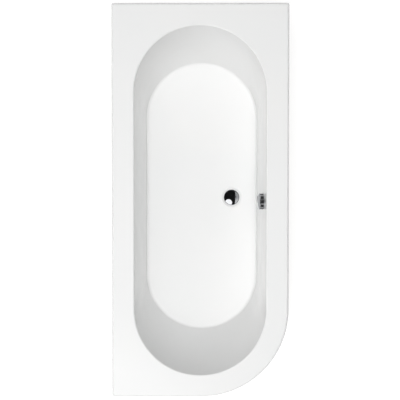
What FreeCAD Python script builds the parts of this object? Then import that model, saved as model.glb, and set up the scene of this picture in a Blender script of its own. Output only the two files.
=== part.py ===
"""Corner bathtub: an acrylic shell with one rounded corner and an oval basin, on a steel cradle with four
levelling feet, with a turn-knob waste and overflow set and a shallow trap.

Millimetres, +Z up. The origin is on the floor, under the middle of the rim's outline. +Y runs to the head
end, +X to the side with the rounded corner, where the waste and the overflow are.
"""
import FreeCAD, Part
import math
import os
import re

import Sketcher

# Driving sizes, one row of the sheet each: angles in degrees, the rest in millimetres.
SIZES = {
    # acrylic shell
    "bath_length": 1785,
    "bath_width": 804,
    "basin_depth": 420,
    "corner_radius": 400,
    "square_corner_radius": 10,
    "sheet_wall": 5,
    "lip_depth": 45,
    "lip_draft": 7,
    "rim_edge_radius": 6,
    "end_rim_width": 101.3,
    "side_rim_width": 103,
    "side_wall_angle": 5.49,
    "end_wall_angle": 21.7,
    "end_wall_bulge": 12,
    "floor_radius": 12,
    "rim_roll_radius": 6,
    "waste_edge_distance": 117.4,
    "fitting_offset": 6,
    "waste_seat_depth": 4,
    "waste_seat_margin": 3,
    "waste_seat_flare": 6,
    "waste_hole_clearance": 1.5,
    "overflow_drop": 90,
    "overflow_hole_radius": 27,
    # glass-fibre backing and base board
    "bond_gap": 0.3,
    "backing_thickness": 3,
    "backing_drop": 30,
    "backing_waste_margin": 3,
    "board_end_margin": 108,
    "board_side_margin": 60,
    "board_thickness": 16,
    "board_notch_margin": 18,
    # timber battens under the rim
    "batten_wall_gap": 51.5,
    "batten_thickness": 20,
    "batten_inset": 12,
    "batten_end_margin": 140,
    "batten_head_margin": 70,
    "glue_gap": 0.1,
    # cradle rails and their screws
    "rail_overhang": 30,
    "rail_width": 40,
    "rail_depth": 28,
    "rail_wall": 2,
    "rail_bend_radius": 3,
    "rail_end_distance": 130,
    "screw_edge_distance": 60,
    "screw_radius": 2.2,
    "screw_length": 14,
    "screw_head_radius": 4.5,
    "screw_head_height": 2.5,
    "screw_clearance": 0.1,
    "screw_hole_margin": 0.6,
    # levelling feet
    "foot_wall_distance": 27,
    "foot_travel": 40,
    "rod_radius": 5,
    "rod_clearance": 0.06,
    "rod_hole_margin": 0.7,
    "nut_across": 17,
    "nut_height": 8,
    "lock_nut_height": 6,
    "adjuster_across": 13,
    "adjuster_height": 8,
    "shoe_radius": 28,
    "shoe_edge_height": 8,
    "shoe_boss_radius": 11,
    "shoe_height": 26,
    "shoe_socket_depth": 16,
    "sole_thickness": 4,
    "sole_margin": 1.5,
    # wall brackets
    "bracket_width": 40,
    "bracket_thickness": 2.5,
    "bracket_bend_radius": 2,
    "bracket_drop": 55,
    "bracket_lip_clearance": 5,
    "bracket_span_share": 0.5,
    "bracket_hole_radius": 3.5,
    "bracket_hole_spacing": 22,
    "bracket_screw_spacing": 20,
    # waste fitting
    "gasket_thickness": 1.5,
    "gasket_margin": 1.5,
    "waste_flange_radius": 37,
    "waste_flange_thickness": 3,
    "waste_neck_radius": 24.5,
    "waste_neck_wall": 3,
    "waste_neck_length": 28,
    "thread_clearance": 0.1,
    "washer_thickness": 5,
    "washer_margin": 18,
    "body_flange_thickness": 5,
    "cup_radius": 33,
    "cup_wall": 3,
    "cup_depth": 57,
    "cup_collar_depth": 16,
    "tee_drop": 35,
    "tee_reach": 62,
    # plug and its lift lever
    "plug_lift": 10,
    "plug_rest_gap": 0.2,
    "plug_seal_thickness": 2.5,
    "plug_seal_width": 5,
    "plug_cap_radius": 34,
    "plug_cap_rise": 5.5,
    "plug_cap_wall": 2.5,
    "stem_radius": 3.5,
    "bush_wall": 3.5,
    "bush_length": 14,
    "spider_arm_width": 3.5,
    "spider_arm_height": 6,
    "lever_arm": 38,
    "lever_nose_radius": 4,
    "lever_bar_height": 5,
    "lever_hub_radius": 5.5,
    "lever_width": 7,
    "lever_gap": 0.3,
    "lever_hook_reach": 9,
    "pin_radius": 2,
    "running_clearance": 0.05,
    "press_clearance": 0.02,
    # overflow fitting
    "overflow_flange_margin": 9,
    "overflow_flange_thickness": 5,
    "overflow_neck_clearance": 0.5,
    "overflow_neck_wall": 3,
    "overflow_neck_length": 22,
    "slot_depth": 15,
    "slot_ring_wall": 3.5,
    "slot_share": 0.72,
    "overflow_seal_thickness": 4,
    "overflow_seal_margin": 11,
    "overflow_body_flange_thickness": 4,
    "bowl_margin": 6,
    "bowl_wall": 3,
    "pipe_setback": 36,
    "overflow_spigot_reach": 58,
    "knob_overhang": 2,
    "knob_thickness": 10,
    "knob_gap": 0.6,
    "knob_lip": 2.5,
    "knob_edge_width": 11,
    "knob_dome_radius": 16,
    "knob_crown": 2.3,
    "knob_shell": 3,
    "spindle_radius": 4,
    "drum_radius": 15,
    "drum_width": 9,
    "drum_groove_radius": 2,
    # overflow pipe and compression joints
    "pipe_radius": 14,
    "pipe_wall": 2,
    "pipe_bend_radius": 60,
    "socket_wall": 3.5,
    "socket_clearance": 0.2,
    "socket_depth": 14,
    "joint_seal_thickness": 4,
    "joint_nut_wall": 4,
    "joint_nut_grip": 12,
    "joint_nut_rib": 1.5,
    # trap
    "trap_radius": 21,
    "trap_wall": 2.5,
    "trap_bend_radius": 32,
    "trap_floor_gap": 9,
    "trap_drop": 25,
    "trap_rise": 14,
    "trap_outlet_bend_radius": 26,
    "trap_outlet_reach": 20,
    "trap_outlet_length": 24,
    "spigot_length": 22,
    "drain_pipe_radius": 20,
    "eye_radius": 13,
    "eye_reach": 12,
    "eye_cap_thickness": 5,
    "eye_cap_skirt": 8,
}

DOC = FreeCAD.newDocument("corner_bathtub")
SHEET = DOC.addObject("Spreadsheet::Sheet", "Sizes")
for row, (alias, number) in enumerate(SIZES.items(), start=1):
    SHEET.set(f"A{row}", alias)
    SHEET.set(f"B{row}", str(number))
    SHEET.setAlias(f"B{row}", alias)
DOC.recompute()

# Levels and places that several pieces share, as formulas of the driving sizes. The basin's floor stands as
# high as the trap, the cup and the waste's seat under it need.
TRAP_CENTRE = "(trap_floor_gap + trap_radius + trap_bend_radius)"
SPIGOT_END = f"({TRAP_CENTRE} + trap_drop)"
CUP_UNDER = f"({SPIGOT_END} + spigot_length)"
BODY_TOP = f"({CUP_UNDER} + cup_depth)"
TEE_LEVEL = f"({BODY_TOP} - tee_drop)"
SEAT_UNDER = f"({BODY_TOP} + washer_thickness)"
SEAT = f"({SEAT_UNDER} + sheet_wall)"
FLANGE_UNDER = f"({SEAT} + gasket_thickness)"
FLANGE_TOP = f"({FLANGE_UNDER} + waste_flange_thickness)"
NECK_END = f"({FLANGE_UNDER} - waste_neck_length)"
FLOOR = f"({SEAT} + waste_seat_depth)"
RIM = f"({FLOOR} + basin_depth)"
RIM_UNDER = f"({RIM} - sheet_wall)"
LIP_UNDER = f"({RIM} - lip_depth)"
BOARD_TOP = f"({FLOOR} - sheet_wall - bond_gap - backing_thickness)"
RAIL_TOP = f"({BOARD_TOP} - board_thickness)"
BATTEN_UNDER = f"({RIM_UNDER} - glue_gap - batten_thickness)"
BASIN_HALF_WIDTH = "(bath_width / 2 - side_rim_width)"
BASIN_HALF_LENGTH = "(bath_length / 2 - end_rim_width)"
FLOOR_HALF_WIDTH = f"({BASIN_HALF_WIDTH} - basin_depth * tan(side_wall_angle))"
FLOOR_HALF_LENGTH = f"({BASIN_HALF_LENGTH} - basin_depth * tan(end_wall_angle))"
BOARD_HALF_WIDTH = f"({FLOOR_HALF_WIDTH} - board_side_margin)"
BOARD_HALF_LENGTH = f"({FLOOR_HALF_LENGTH} - board_end_margin)"
RAIL_Y = f"({BOARD_HALF_LENGTH} - rail_end_distance)"
SCREW_X = f"({BOARD_HALF_WIDTH} - screw_edge_distance)"
FOOT_X = f"({FLOOR_HALF_WIDTH} + foot_wall_distance)"
BATTEN_WIDTH = "(side_rim_width - batten_inset - batten_wall_gap)"
BATTEN_EDGE_X = "(bath_width / 2 - batten_inset)"
BATTEN_EDGE_Y = "(bath_length / 2 - batten_inset)"
BRACKET_Y = "(bath_length / 2 * bracket_span_share)"
WASTE_X = f"({FLOOR_HALF_WIDTH} - waste_edge_distance)"
WASTE_Y = "(-fitting_offset)"
WASTE_HOLE = "(waste_neck_radius + waste_hole_clearance)"
WASTE_SEAT = "(waste_flange_radius + waste_seat_margin)"
WASHER = f"({WASTE_HOLE} + washer_margin)"
OVERFLOW_X = f"({BASIN_HALF_WIDTH} - overflow_drop * tan(side_wall_angle))"
OVERFLOW_Z = f"({RIM} - overflow_drop)"
OVERFLOW_FLANGE = "(overflow_hole_radius + overflow_flange_margin)"
OVERFLOW_SEAL = "(overflow_hole_radius + overflow_seal_margin)"
BOWL = "(overflow_hole_radius + bowl_margin)"
KNOB = f"({OVERFLOW_FLANGE} + knob_overhang)"
WALL_BACK = "(sheet_wall + bond_gap + backing_thickness)"
PIPE_FALL = f"({OVERFLOW_Z} - pipe_setback * sin(side_wall_angle) - {TEE_LEVEL})"
PIPE_CORNER_X = (f"({OVERFLOW_X} + pipe_setback * cos(side_wall_angle)"
                 f" - {PIPE_FALL} * tan(side_wall_angle))")
TRAP_OUTLET_LEVEL = f"({TRAP_CENTRE} + trap_rise + trap_outlet_bend_radius)"
TRAP_UP = "(-2 * trap_bend_radius)"
TRAP_OUTLET_START = f"({TRAP_UP} - trap_outlet_bend_radius - trap_outlet_reach)"
LEVER_SWING = "asin(plug_lift / 2 / lever_arm)"

Z_AXIS = FreeCAD.Vector(0, 0, 1)
TOWARDS_X = (FreeCAD.Vector(0, 1, 0), "90")
TOWARDS_WALL_NORMAL = (FreeCAD.Vector(0, -1, 0), "90 - side_wall_angle")
DOWN_THE_WALL = (FreeCAD.Vector(0, -1, 0), "180 - side_wall_angle")
DOWNWARDS = (FreeCAD.Vector(1, 0, 0), "180")
TOWARDS_FOOT_END = (FreeCAD.Vector(1, 0, 0), "90")

# How many of each repeat there are about an axis, and how close two sizes are that count as the same.
ARM_COUNT = 3
SLOT_COUNT = 11
RIB_COUNT = 8
SAME = 1e-4
SUB_PARTS = []


def formula(text):
    """The text with each size's name pointed at its cell."""
    def cell(found):
        name = found.group()
        return f"Sizes.{name}" if name in SIZES else name
    return re.sub(r"[a-z][a-z0-9_]*", cell, text)


def bind(thing, path, text):
    """Ties a property to a formula of named sizes."""
    thing.setExpression(path, formula(text))


def size(text):
    """The number that a formula of named sizes gives."""
    return float(SHEET.evalExpression(formula(text)))


def new_body(label):
    """A sub-part's body, whose label names its file."""
    body = DOC.addObject("PartDesign::Body", label)
    SUB_PARTS.append(body)
    return body


def place(body, x="0", y="0", z="0", turn=None):
    """Sets a body in its place, after a turn about an axis."""
    if turn:
        axis, angle = turn
        body.Placement = FreeCAD.Placement(FreeCAD.Vector(), FreeCAD.Rotation(axis, size(angle)))
        bind(body, "Placement.Rotation.Angle", angle)
    for path, text in (("x", x), ("y", y), ("z", z)):
        bind(body, f"Placement.Base.{path}", text)


def new_sketch(body, name, plane="XY_Plane", lift="0"):
    """A sketch on one of the body's origin planes, lifted along the plane's normal."""
    sketch = body.newObject("Sketcher::SketchObject", f"{body.Name}_{name}")
    support = next(f for f in body.Origin.OriginFeatures if f.Role == plane)
    sketch.AttachmentSupport = [(support, "")]
    sketch.MapMode = "FlatFace"
    bind(sketch, "AttachmentOffset.Base.z", lift)
    return sketch


def fix_point(sketch, edge, end, kind, text):
    """Holds one coordinate of a sketch point at a formula, measured from the origin."""
    index = sketch.addConstraint(Sketcher.Constraint(kind, -1, 1, edge, end, size(text)))
    bind(sketch, f"Constraints[{index}]", text)


def draw(sketch, corners, arcs=None, closed=True):
    """A chain of edges through corners, each a pair of formulas. arcs gives, by the number of its first
    corner, the centre of each edge that is an arc, with the word clockwise after it where it runs so."""
    arcs = arcs or {}
    first = sketch.GeometryCount
    points = [FreeCAD.Vector(size(x), size(y), 0) for x, y in corners]
    count = len(points) if closed else len(points) - 1
    ends = []
    for i in range(count):
        start, end = points[i], points[(i + 1) % len(points)]
        if i not in arcs:
            sketch.addGeometry(Part.LineSegment(start, end))
            ends.append((1, 2))
            continue
        centre = FreeCAD.Vector(size(arcs[i][0]), size(arcs[i][1]), 0)
        a, b = start - centre, end - centre
        clockwise = "clockwise" in arcs[i]
        low, high = (b, a) if clockwise else (a, b)
        round_edge = Part.Circle(centre, Z_AXIS, a.Length)
        sketch.addGeometry(Part.ArcOfCircle(round_edge, math.atan2(low.y, low.x), math.atan2(high.y, high.x)))
        ends.append((2, 1) if clockwise else (1, 2))
    for i in range(count):
        fix_point(sketch, first + i, ends[i][0], "DistanceX", corners[i][0])
        fix_point(sketch, first + i, ends[i][0], "DistanceY", corners[i][1])
        if i + 1 == count and not closed:
            fix_point(sketch, first + i, ends[i][1], "DistanceX", corners[i + 1][0])
            fix_point(sketch, first + i, ends[i][1], "DistanceY", corners[i + 1][1])
            continue
        following = (i + 1) % count
        joint = (first + i, ends[i][1], first + following, ends[following][0])
        sketch.addConstraint(Sketcher.Constraint("Coincident", *joint))
    for i, centre in arcs.items():
        chord = points[(i + 1) % len(points)] - points[i]
        if abs(chord.x) > abs(chord.y):
            fix_point(sketch, first + i, 3, "DistanceY", centre[1])
        else:
            fix_point(sketch, first + i, 3, "DistanceX", centre[0])


def circle(sketch, x, y, radius):
    edge = sketch.addGeometry(Part.Circle(FreeCAD.Vector(size(x), size(y), 0), Z_AXIS, size(radius)))
    fix_point(sketch, edge, 3, "DistanceX", x)
    fix_point(sketch, edge, 3, "DistanceY", y)
    index = sketch.addConstraint(Sketcher.Constraint("Radius", edge, size(radius)))
    bind(sketch, f"Constraints[{index}]", radius)


def rectangle(sketch, left, right, low, high):
    draw(sketch, [(left, low), (right, low), (right, high), (left, high)])


def hexagon(sketch, x, y, across):
    """A hexagon by its size across the flats."""
    turns = range(30, 390, 60)
    draw(sketch, [(f"{x} + {across} / 2 / cos(30) * cos({a})", f"{y} + {across} / 2 / cos(30) * sin({a})")
                  for a in turns])


def add(body, kind, name, profile, **formulas):
    """A feature of the body made from a sketch, with its sizes tied to formulas."""
    feature = body.newObject(f"PartDesign::{kind}", f"{body.Name}_{name}")
    feature.Profile = profile
    for path, text in formulas.items():
        bind(feature, path, text)
    return feature


def revolve(body, name, corners, arcs=None, kind="Revolution"):
    """Turns a profile of radii and heights about the body's own Z axis."""
    sketch = new_sketch(body, f"{name}_profile", "XZ_Plane")
    draw(sketch, corners, arcs)
    feature = add(body, kind, name, sketch)
    feature.ReferenceAxis = (sketch, ["V_Axis"])
    return feature


def ring(body, name, inner, outer, low, high):
    """A plain ring, or a disc where the inner radius is 0."""
    return revolve(body, name, [(inner, low), (outer, low), (outer, high), (inner, high)])


def repeat(body, name, feature, count):
    """Repeats a feature evenly about the body's Z axis."""
    pattern = body.newObject("PartDesign::PolarPattern", f"{body.Name}_{name}")
    pattern.Originals = [feature]
    axis = next(f for f in body.Origin.OriginFeatures if f.Role == "Z_Axis")
    pattern.Axis = (axis, [""])
    pattern.Angle = 360
    pattern.Occurrences = count
    body.Tip = pattern
    DOC.recompute()


def sweep(body, kind, name, profile, path, edges):
    """Runs a profile along a sketched path."""
    feature = add(body, kind, name, profile)
    feature.Spine = (path, [f"Edge{i + 1}" for i in range(edges)])
    DOC.recompute()
    return feature


def combine(body, name, kind, tool):
    """Joins another body to this one, or cuts it away."""
    feature = body.newObject("PartDesign::Boolean", f"{body.Name}_{name}")
    feature.Type = kind
    feature.addObject(tool)
    DOC.recompute()


def fillet(body, name, radius, picked):
    """Rounds the edges of the body's present shape that picked accepts."""
    DOC.recompute()
    tip = body.Tip
    names = [f"Edge{i}" for i, edge in enumerate(tip.Shape.Edges, start=1) if picked(edge)]
    feature = body.newObject("PartDesign::Fillet", f"{body.Name}_{name}")
    feature.Base = (tip, names)
    bind(feature, "Radius", radius)
    DOC.recompute()


def flat_at(edge, level):
    """Whether an edge lies flat at a height."""
    box = edge.BoundBox
    return abs(box.ZMin - size(level)) < SAME and abs(box.ZMax - size(level)) < SAME


def at_square_corner(edge):
    """Whether an edge rises from a corner of the rim that isn't the round one."""
    low = min((vertex.Point for vertex in edge.Vertexes), key=lambda point: point.z)
    at_side = abs(abs(low.x) - size("bath_width / 2")) < SAME
    at_end = abs(abs(low.y) - size("bath_length / 2")) < SAME
    return edge.BoundBox.ZLength > SAME and at_side and at_end


def rim_outline(sketch, inset):
    """The rim's outline: three square corners and one large round one."""
    left, right = f"-bath_width / 2 + {inset}", f"bath_width / 2 - {inset}"
    foot, head = f"-bath_length / 2 + {inset}", f"bath_length / 2 - {inset}"
    centre = ("bath_width / 2 - corner_radius", "-bath_length / 2 + corner_radius")
    corners = [(left, foot), (centre[0], foot), (right, centre[1]), (right, head), (left, head)]
    draw(sketch, corners, {1: centre})


def basin_oval(body, name, depth, outset):
    """The basin's oval at a depth below the rim, grown by outset: two straight sides and two half rounds."""
    sketch = new_sketch(body, name, lift=f"{RIM} - ({depth})")
    radius = f"({BASIN_HALF_WIDTH} - ({depth}) * tan(side_wall_angle) + {outset})"
    share = f"(({depth}) / basin_depth)"
    reach = (f"{BASIN_HALF_LENGTH} - ({depth}) * tan(end_wall_angle)"
             f" + 4 * end_wall_bulge * {share} * (1 - {share}) + {outset}")
    centre = f"({reach} - {radius})"
    corners = [(radius, f"-{centre}"), (radius, centre), (f"-{radius}", centre), (f"-{radius}", f"-{centre}")]
    draw(sketch, corners, {1: ("0", centre), 3: ("0", f"-{centre}")})
    return sketch


def basin_form(body, top, bottom, outset):
    """Gives the body the basin's shape between two depths, grown by outset, with a rounded floor edge."""
    depths = [top, f"(({top}) + ({bottom})) / 2", bottom]
    ovals = [basin_oval(body, f"oval_{i}", depth, outset) for i, depth in enumerate(depths)]
    sides = add(body, "AdditiveLoft", "sides", ovals[0])
    sides.Sections = ovals[1:]
    fillet(body, "floor_edge", f"floor_radius + {outset}", lambda edge: flat_at(edge, f"{RIM} - ({bottom})"))
    return body


def overflow_hole(body):
    """Cuts the overflow's hole square through the side wall."""
    sketch = new_sketch(body, "overflow_outline")
    axis, angle = TOWARDS_WALL_NORMAL
    sketch.AttachmentOffset = FreeCAD.Placement(FreeCAD.Vector(), FreeCAD.Rotation(axis, size(angle)))
    bind(sketch, "AttachmentOffset.Base.x", OVERFLOW_X)
    bind(sketch, "AttachmentOffset.Base.y", WASTE_Y)
    bind(sketch, "AttachmentOffset.Base.z", OVERFLOW_Z)
    bind(sketch, "AttachmentOffset.Rotation.Angle", angle)
    circle(sketch, "0", "0", "overflow_hole_radius")
    add(body, "Pocket", "overflow_hole", sketch, Length=f"4 * {WALL_BACK}").Midplane = True


def bath_shell():
    """The moulded sheet: rim plate with a turned-down lip, deep basin, waste seat and overflow hole."""
    body = new_body("bath_shell")
    plate = new_sketch(body, "plate_outline", lift=LIP_UNDER)
    rim_outline(plate, "0")
    add(body, "Pad", "plate", plate, Length="lip_depth", TaperAngle="-lip_draft")
    fillet(body, "square_corners", "square_corner_radius", at_square_corner)
    fillet(body, "rim_edge", "rim_edge_radius", lambda edge: flat_at(edge, RIM))
    hollow = new_sketch(body, "hollow_outline", lift=LIP_UNDER)
    rim_outline(hollow, "sheet_wall")
    depth = "lip_depth - sheet_wall"
    add(body, "Pocket", "hollow", hollow, Length=depth, TaperAngle="-lip_draft").Reversed = True
    bowl = DOC.addObject("PartDesign::Body", "bowl_form")
    combine(body, "bowl", "Fuse", basin_form(bowl, "0", "basin_depth + sheet_wall", "sheet_wall"))
    basin = DOC.addObject("PartDesign::Body", "basin_form")
    combine(body, "basin", "Cut", basin_form(basin, "0", "basin_depth", "0"))
    near_basin = lambda edge: edge.BoundBox.XMax < size(f"{BASIN_HALF_WIDTH} + 2 * sheet_wall")
    fillet(body, "rim_roll", "rim_roll_radius", lambda edge: flat_at(edge, RIM) and near_basin(edge))
    fillet(body, "rim_roll_under", "rim_roll_radius - sheet_wall",
           lambda edge: flat_at(edge, RIM_UNDER) and near_basin(edge))
    flare = "atan(waste_seat_flare / waste_seat_depth)"
    dish = new_sketch(body, "dish_outline", lift=SEAT_UNDER)
    circle(dish, WASTE_X, WASTE_Y, f"{WASTE_SEAT} + waste_seat_flare")
    add(body, "Pad", "dish", dish, Length="waste_seat_depth", TaperAngle=flare)
    seat = new_sketch(body, "seat_outline", lift=SEAT)
    circle(seat, WASTE_X, WASTE_Y, WASTE_SEAT)
    add(body, "Pocket", "seat", seat, Length="waste_seat_depth", TaperAngle=flare).Reversed = True
    hole = new_sketch(body, "waste_outline", lift=FLOOR)
    circle(hole, WASTE_X, WASTE_Y, WASTE_HOLE)
    add(body, "Pocket", "waste_hole", hole, Length="2 * (waste_seat_depth + sheet_wall)")
    overflow_hole(body)


def fibreglass_backing():
    """The sprayed layer that stiffens the outside of the basin."""
    inside = "sheet_wall + bond_gap"
    outside = f"{inside} + backing_thickness"
    body = basin_form(new_body("fibreglass_backing"), "backing_drop", f"basin_depth + {outside}", outside)
    core = DOC.addObject("PartDesign::Body", "backing_core")
    combine(body, "hollow", "Cut", basin_form(core, "backing_drop", f"basin_depth + {inside}", inside))
    hole = new_sketch(body, "waste_outline", lift=FLOOR)
    circle(hole, WASTE_X, WASTE_Y, f"{WASTE_SEAT} + 2 * waste_seat_flare + backing_waste_margin")
    add(body, "Pocket", "waste_hole", hole, Length=f"2 * {WALL_BACK}")
    overflow_hole(body)


def four_places(x, y):
    """The four places that mirror each other about the middle of the bath."""
    return [(f"{side} * {x}", f"{end} * {y}") for side in (-1, 1) for end in (-1, 1)]


def base_board():
    """The chipboard under the basin's floor, notched round the waste, with pilot holes for the cradle."""
    body = new_body("base_board")
    sketch = new_sketch(body, "outline", lift=RAIL_TOP)
    half, end = BOARD_HALF_WIDTH, f"({BOARD_HALF_LENGTH} - {BOARD_HALF_WIDTH})"
    notch = f"({WASHER} + board_notch_margin)"
    notch_low, notch_high = f"{WASTE_Y} - {notch}", f"{WASTE_Y} + {notch}"
    corners = [(half, f"-{end}"), (half, notch_low), (WASTE_X, notch_low), (WASTE_X, notch_high),
               (half, notch_high), (half, end), (f"-{half}", end), (f"-{half}", f"-{end}")]
    arcs = {2: (WASTE_X, WASTE_Y, "clockwise"), 5: ("0", end), 7: ("0", f"-{end}")}
    draw(sketch, corners, arcs)
    for x, y in four_places(SCREW_X, RAIL_Y):
        circle(sketch, x, y, "screw_radius + screw_clearance")
    add(body, "Pad", "board", sketch, Length="board_thickness")


def bracket_screw_places():
    """Where each wall bracket's two screws go up into its batten, by the bracket's name."""
    side_x, head_y = f"-{BATTEN_EDGE_X} + {BATTEN_WIDTH} / 2", f"{BATTEN_EDGE_Y} - {BATTEN_WIDTH} / 2"
    pair = ("-bracket_screw_spacing / 2", "bracket_screw_spacing / 2")
    return {
        "left": [(side_x, f"{end} * {BRACKET_Y} + {shift}") for end in (-1, 1) for shift in pair],
        "head": [(shift, head_y) for shift in pair],
    }


def batten(label, left, right, low, high, screws=()):
    """A timber strip glued under the rim, with pilot holes for the brackets' screws."""
    body = new_body(label)
    sketch = new_sketch(body, "outline", lift=BATTEN_UNDER)
    rectangle(sketch, left, right, low, high)
    add(body, "Pad", "strip", sketch, Length="batten_thickness")
    if screws:
        holes = new_sketch(body, "pilot_outlines", lift=BATTEN_UNDER)
        for x, y in screws:
            circle(holes, x, y, "screw_radius + screw_clearance")
        add(body, "Pocket", "pilot_holes", holes, Length="screw_length + screw_clearance").Reversed = True


def rim_battens():
    screws = bracket_screw_places()
    side, end = "(bath_length / 2 - batten_end_margin)", "(bath_width / 2 - batten_head_margin)"
    inner_x, inner_y = f"({BATTEN_EDGE_X} - {BATTEN_WIDTH})", f"({BATTEN_EDGE_Y} - {BATTEN_WIDTH})"
    round_start = "(-bath_length / 2 + corner_radius + batten_head_margin)"
    batten("rim_batten_left", f"-{BATTEN_EDGE_X}", f"-{inner_x}", f"-{side}", side, screws["left"])
    batten("rim_batten_right", inner_x, BATTEN_EDGE_X, round_start, side)
    batten("rim_batten_head", f"-{end}", end, inner_y, BATTEN_EDGE_Y, screws["head"])
    batten("rim_batten_foot", f"-{end}", "bath_width / 2 - corner_radius", f"-{BATTEN_EDGE_Y}", f"-{inner_y}")


def cradle_rail(label, side):
    """A folded steel channel, open below, with holes for its screws and its two feet."""
    body = new_body(label)
    profile = new_sketch(body, "profile", "YZ_Plane")
    middle = f"{side} * {RAIL_Y}"
    outer, inner = "rail_width / 2", "(rail_width / 2 - rail_wall)"
    low, under = f"({RAIL_TOP} - rail_depth)", f"({RAIL_TOP} - rail_wall)"
    shoulder = f"({under} - rail_bend_radius)"
    fold, bend = f"({inner} - rail_bend_radius)", "(rail_bend_radius + rail_wall)"
    corners = [(outer, low), (outer, shoulder), (fold, RAIL_TOP),
               (f"-{fold}", RAIL_TOP), (f"-{outer}", shoulder), (f"-{outer}", low),
               (f"-{inner}", low), (f"-{inner}", shoulder), (f"-{fold}", under),
               (fold, under), (inner, shoulder), (inner, low)]
    arcs = {1: (fold, shoulder), 3: (f"-{fold}", shoulder), 7: (f"-{fold}", shoulder, "clockwise"),
            9: (fold, shoulder, "clockwise")}
    shift = lambda point: (f"{middle} + {point[0]}", *point[1:])
    draw(profile, [shift(corner) for corner in corners], {i: shift(centre) for i, centre in arcs.items()})
    add(body, "Pad", "channel", profile, Length=f"2 * ({FOOT_X} + rail_overhang)").Midplane = True
    holes = new_sketch(body, "hole_outlines", lift=RAIL_TOP)
    for sign in (-1, 1):
        circle(holes, f"{sign} * {FOOT_X}", middle, "rod_radius + rod_hole_margin")
        circle(holes, f"{sign} * {SCREW_X}", middle, "screw_radius + screw_hole_margin")
    add(body, "Pocket", "holes", holes, Length="2 * rail_wall")


def screws(label, places, level):
    """Pan-head screws driven upwards, their heads under a level."""
    body = new_body(label)
    heads = new_sketch(body, "head_outlines", lift=level)
    shanks = new_sketch(body, "shank_outlines", lift=level)
    for x, y in places:
        circle(heads, x, y, "screw_head_radius")
        circle(shanks, x, y, "screw_radius")
    add(body, "Pad", "heads", heads, Length="screw_head_height").Reversed = True
    add(body, "Pad", "shanks", shanks, Length="screw_length")


def nuts(label, level, height):
    """Hexagon nuts on the four foot rods, standing on a level."""
    body = new_body(label)
    sketch = new_sketch(body, "outlines", lift=level)
    for x, y in four_places(FOOT_X, RAIL_Y):
        hexagon(sketch, x, y, "nut_across")
        circle(sketch, x, y, "rod_radius + rod_clearance")
    add(body, "Pad", "nuts", sketch, Length=height)


def foot(name, x, y):
    """A levelling foot: threaded rod with a hexagon for the spanner, moulded shoe and rubber sole."""
    shoe_top = "(sole_thickness + shoe_height)"
    rod_end = f"({shoe_top} - shoe_socket_depth)"
    rod_top = f"({RAIL_TOP} + nut_height + foot_travel + rod_radius)"
    rod = new_body(f"foot_rod_{name}")
    chamfer = "(rod_radius / 5)"
    revolve(rod, "rod", [("0", rod_end), ("rod_radius", rod_end),
                         ("rod_radius", f"{rod_top} - {chamfer}"),
                         (f"rod_radius - {chamfer}", rod_top), ("0", rod_top)])
    flats = new_sketch(rod, "adjuster_outline", lift=shoe_top)
    hexagon(flats, "0", "0", "adjuster_across")
    add(rod, "Pad", "adjuster", flats, Length="adjuster_height")
    place(rod, x, y)
    shoe = new_body(f"foot_shoe_{name}")
    edge = "(sole_thickness + shoe_edge_height)"
    bore = "(rod_radius + rod_clearance)"
    revolve(shoe, "shoe", [("0", "sole_thickness"), ("shoe_radius", "sole_thickness"),
                           ("shoe_radius", edge), ("shoe_boss_radius", f"{shoe_top} - shoe_edge_height"),
                           ("shoe_boss_radius", shoe_top), (bore, shoe_top), (bore, rod_end),
                           ("0", rod_end)])
    place(shoe, x, y)
    sole = new_body(f"foot_sole_{name}")
    ring(sole, "sole", "0", "shoe_radius - sole_margin", "0", "sole_thickness")
    place(sole, x, y)


def wall_bracket(label, turn, x="0", y="0"):
    """A bent strip, drawn with the wall on its -X side: a foot under the batten, a step out below the lip,
    and a plate with two holes that lies on the wall."""
    body = new_body(label)
    profile = new_sketch(body, "profile", "XZ_Plane")
    skin, bend = "bracket_thickness", "(bracket_thickness + bracket_bend_radius)"
    top, step = BATTEN_UNDER, f"({LIP_UNDER} - bracket_lip_clearance)"
    low, rise, end = f"({step} - bracket_drop)", "batten_inset", f"batten_inset + {BATTEN_WIDTH}"
    upper = (f"{rise} + {bend}", f"{top} - {bend}")
    middle = (f"{rise} - bracket_bend_radius", f"{step} + bracket_bend_radius")
    lower = (bend, f"{step} - {bend}")
    corners = [(end, top), (upper[0], top), (rise, upper[1]), (rise, middle[1]), (middle[0], step),
               (lower[0], step), ("0", lower[1]), ("0", low),
               (skin, low), (skin, lower[1]), (lower[0], f"{step} - {skin}"),
               (middle[0], f"{step} - {skin}"), (f"{rise} + {skin}", middle[1]),
               (f"{rise} + {skin}", upper[1]), (upper[0], f"{top} - {skin}"), (end, f"{top} - {skin}")]
    arcs = {1: upper, 3: (*middle, "clockwise"), 5: lower,
            9: (*lower, "clockwise"), 11: middle, 13: (*upper, "clockwise")}
    draw(profile, corners, arcs)
    add(body, "Pad", "strip", profile, Length="bracket_width").Midplane = True
    holes = new_sketch(body, "hole_outlines", "YZ_Plane")
    for sign in (-1, 1):
        circle(holes, f"{sign} * bracket_hole_spacing / 2", f"{step} - {skin} - bracket_drop / 2",
               "bracket_hole_radius")
    add(body, "Pocket", "holes", holes, Length=f"2 * {skin}").Reversed = True
    screw_holes = new_sketch(body, "screw_outlines", lift=top)
    for sign in (-1, 1):
        circle(screw_holes, f"{rise} + {BATTEN_WIDTH} / 2", f"{sign} * bracket_screw_spacing / 2",
               "screw_radius + screw_hole_margin")
    add(body, "Pocket", "screw_holes", screw_holes, Length=f"2 * {skin}")
    place(body, x, y, turn=turn)


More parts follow.
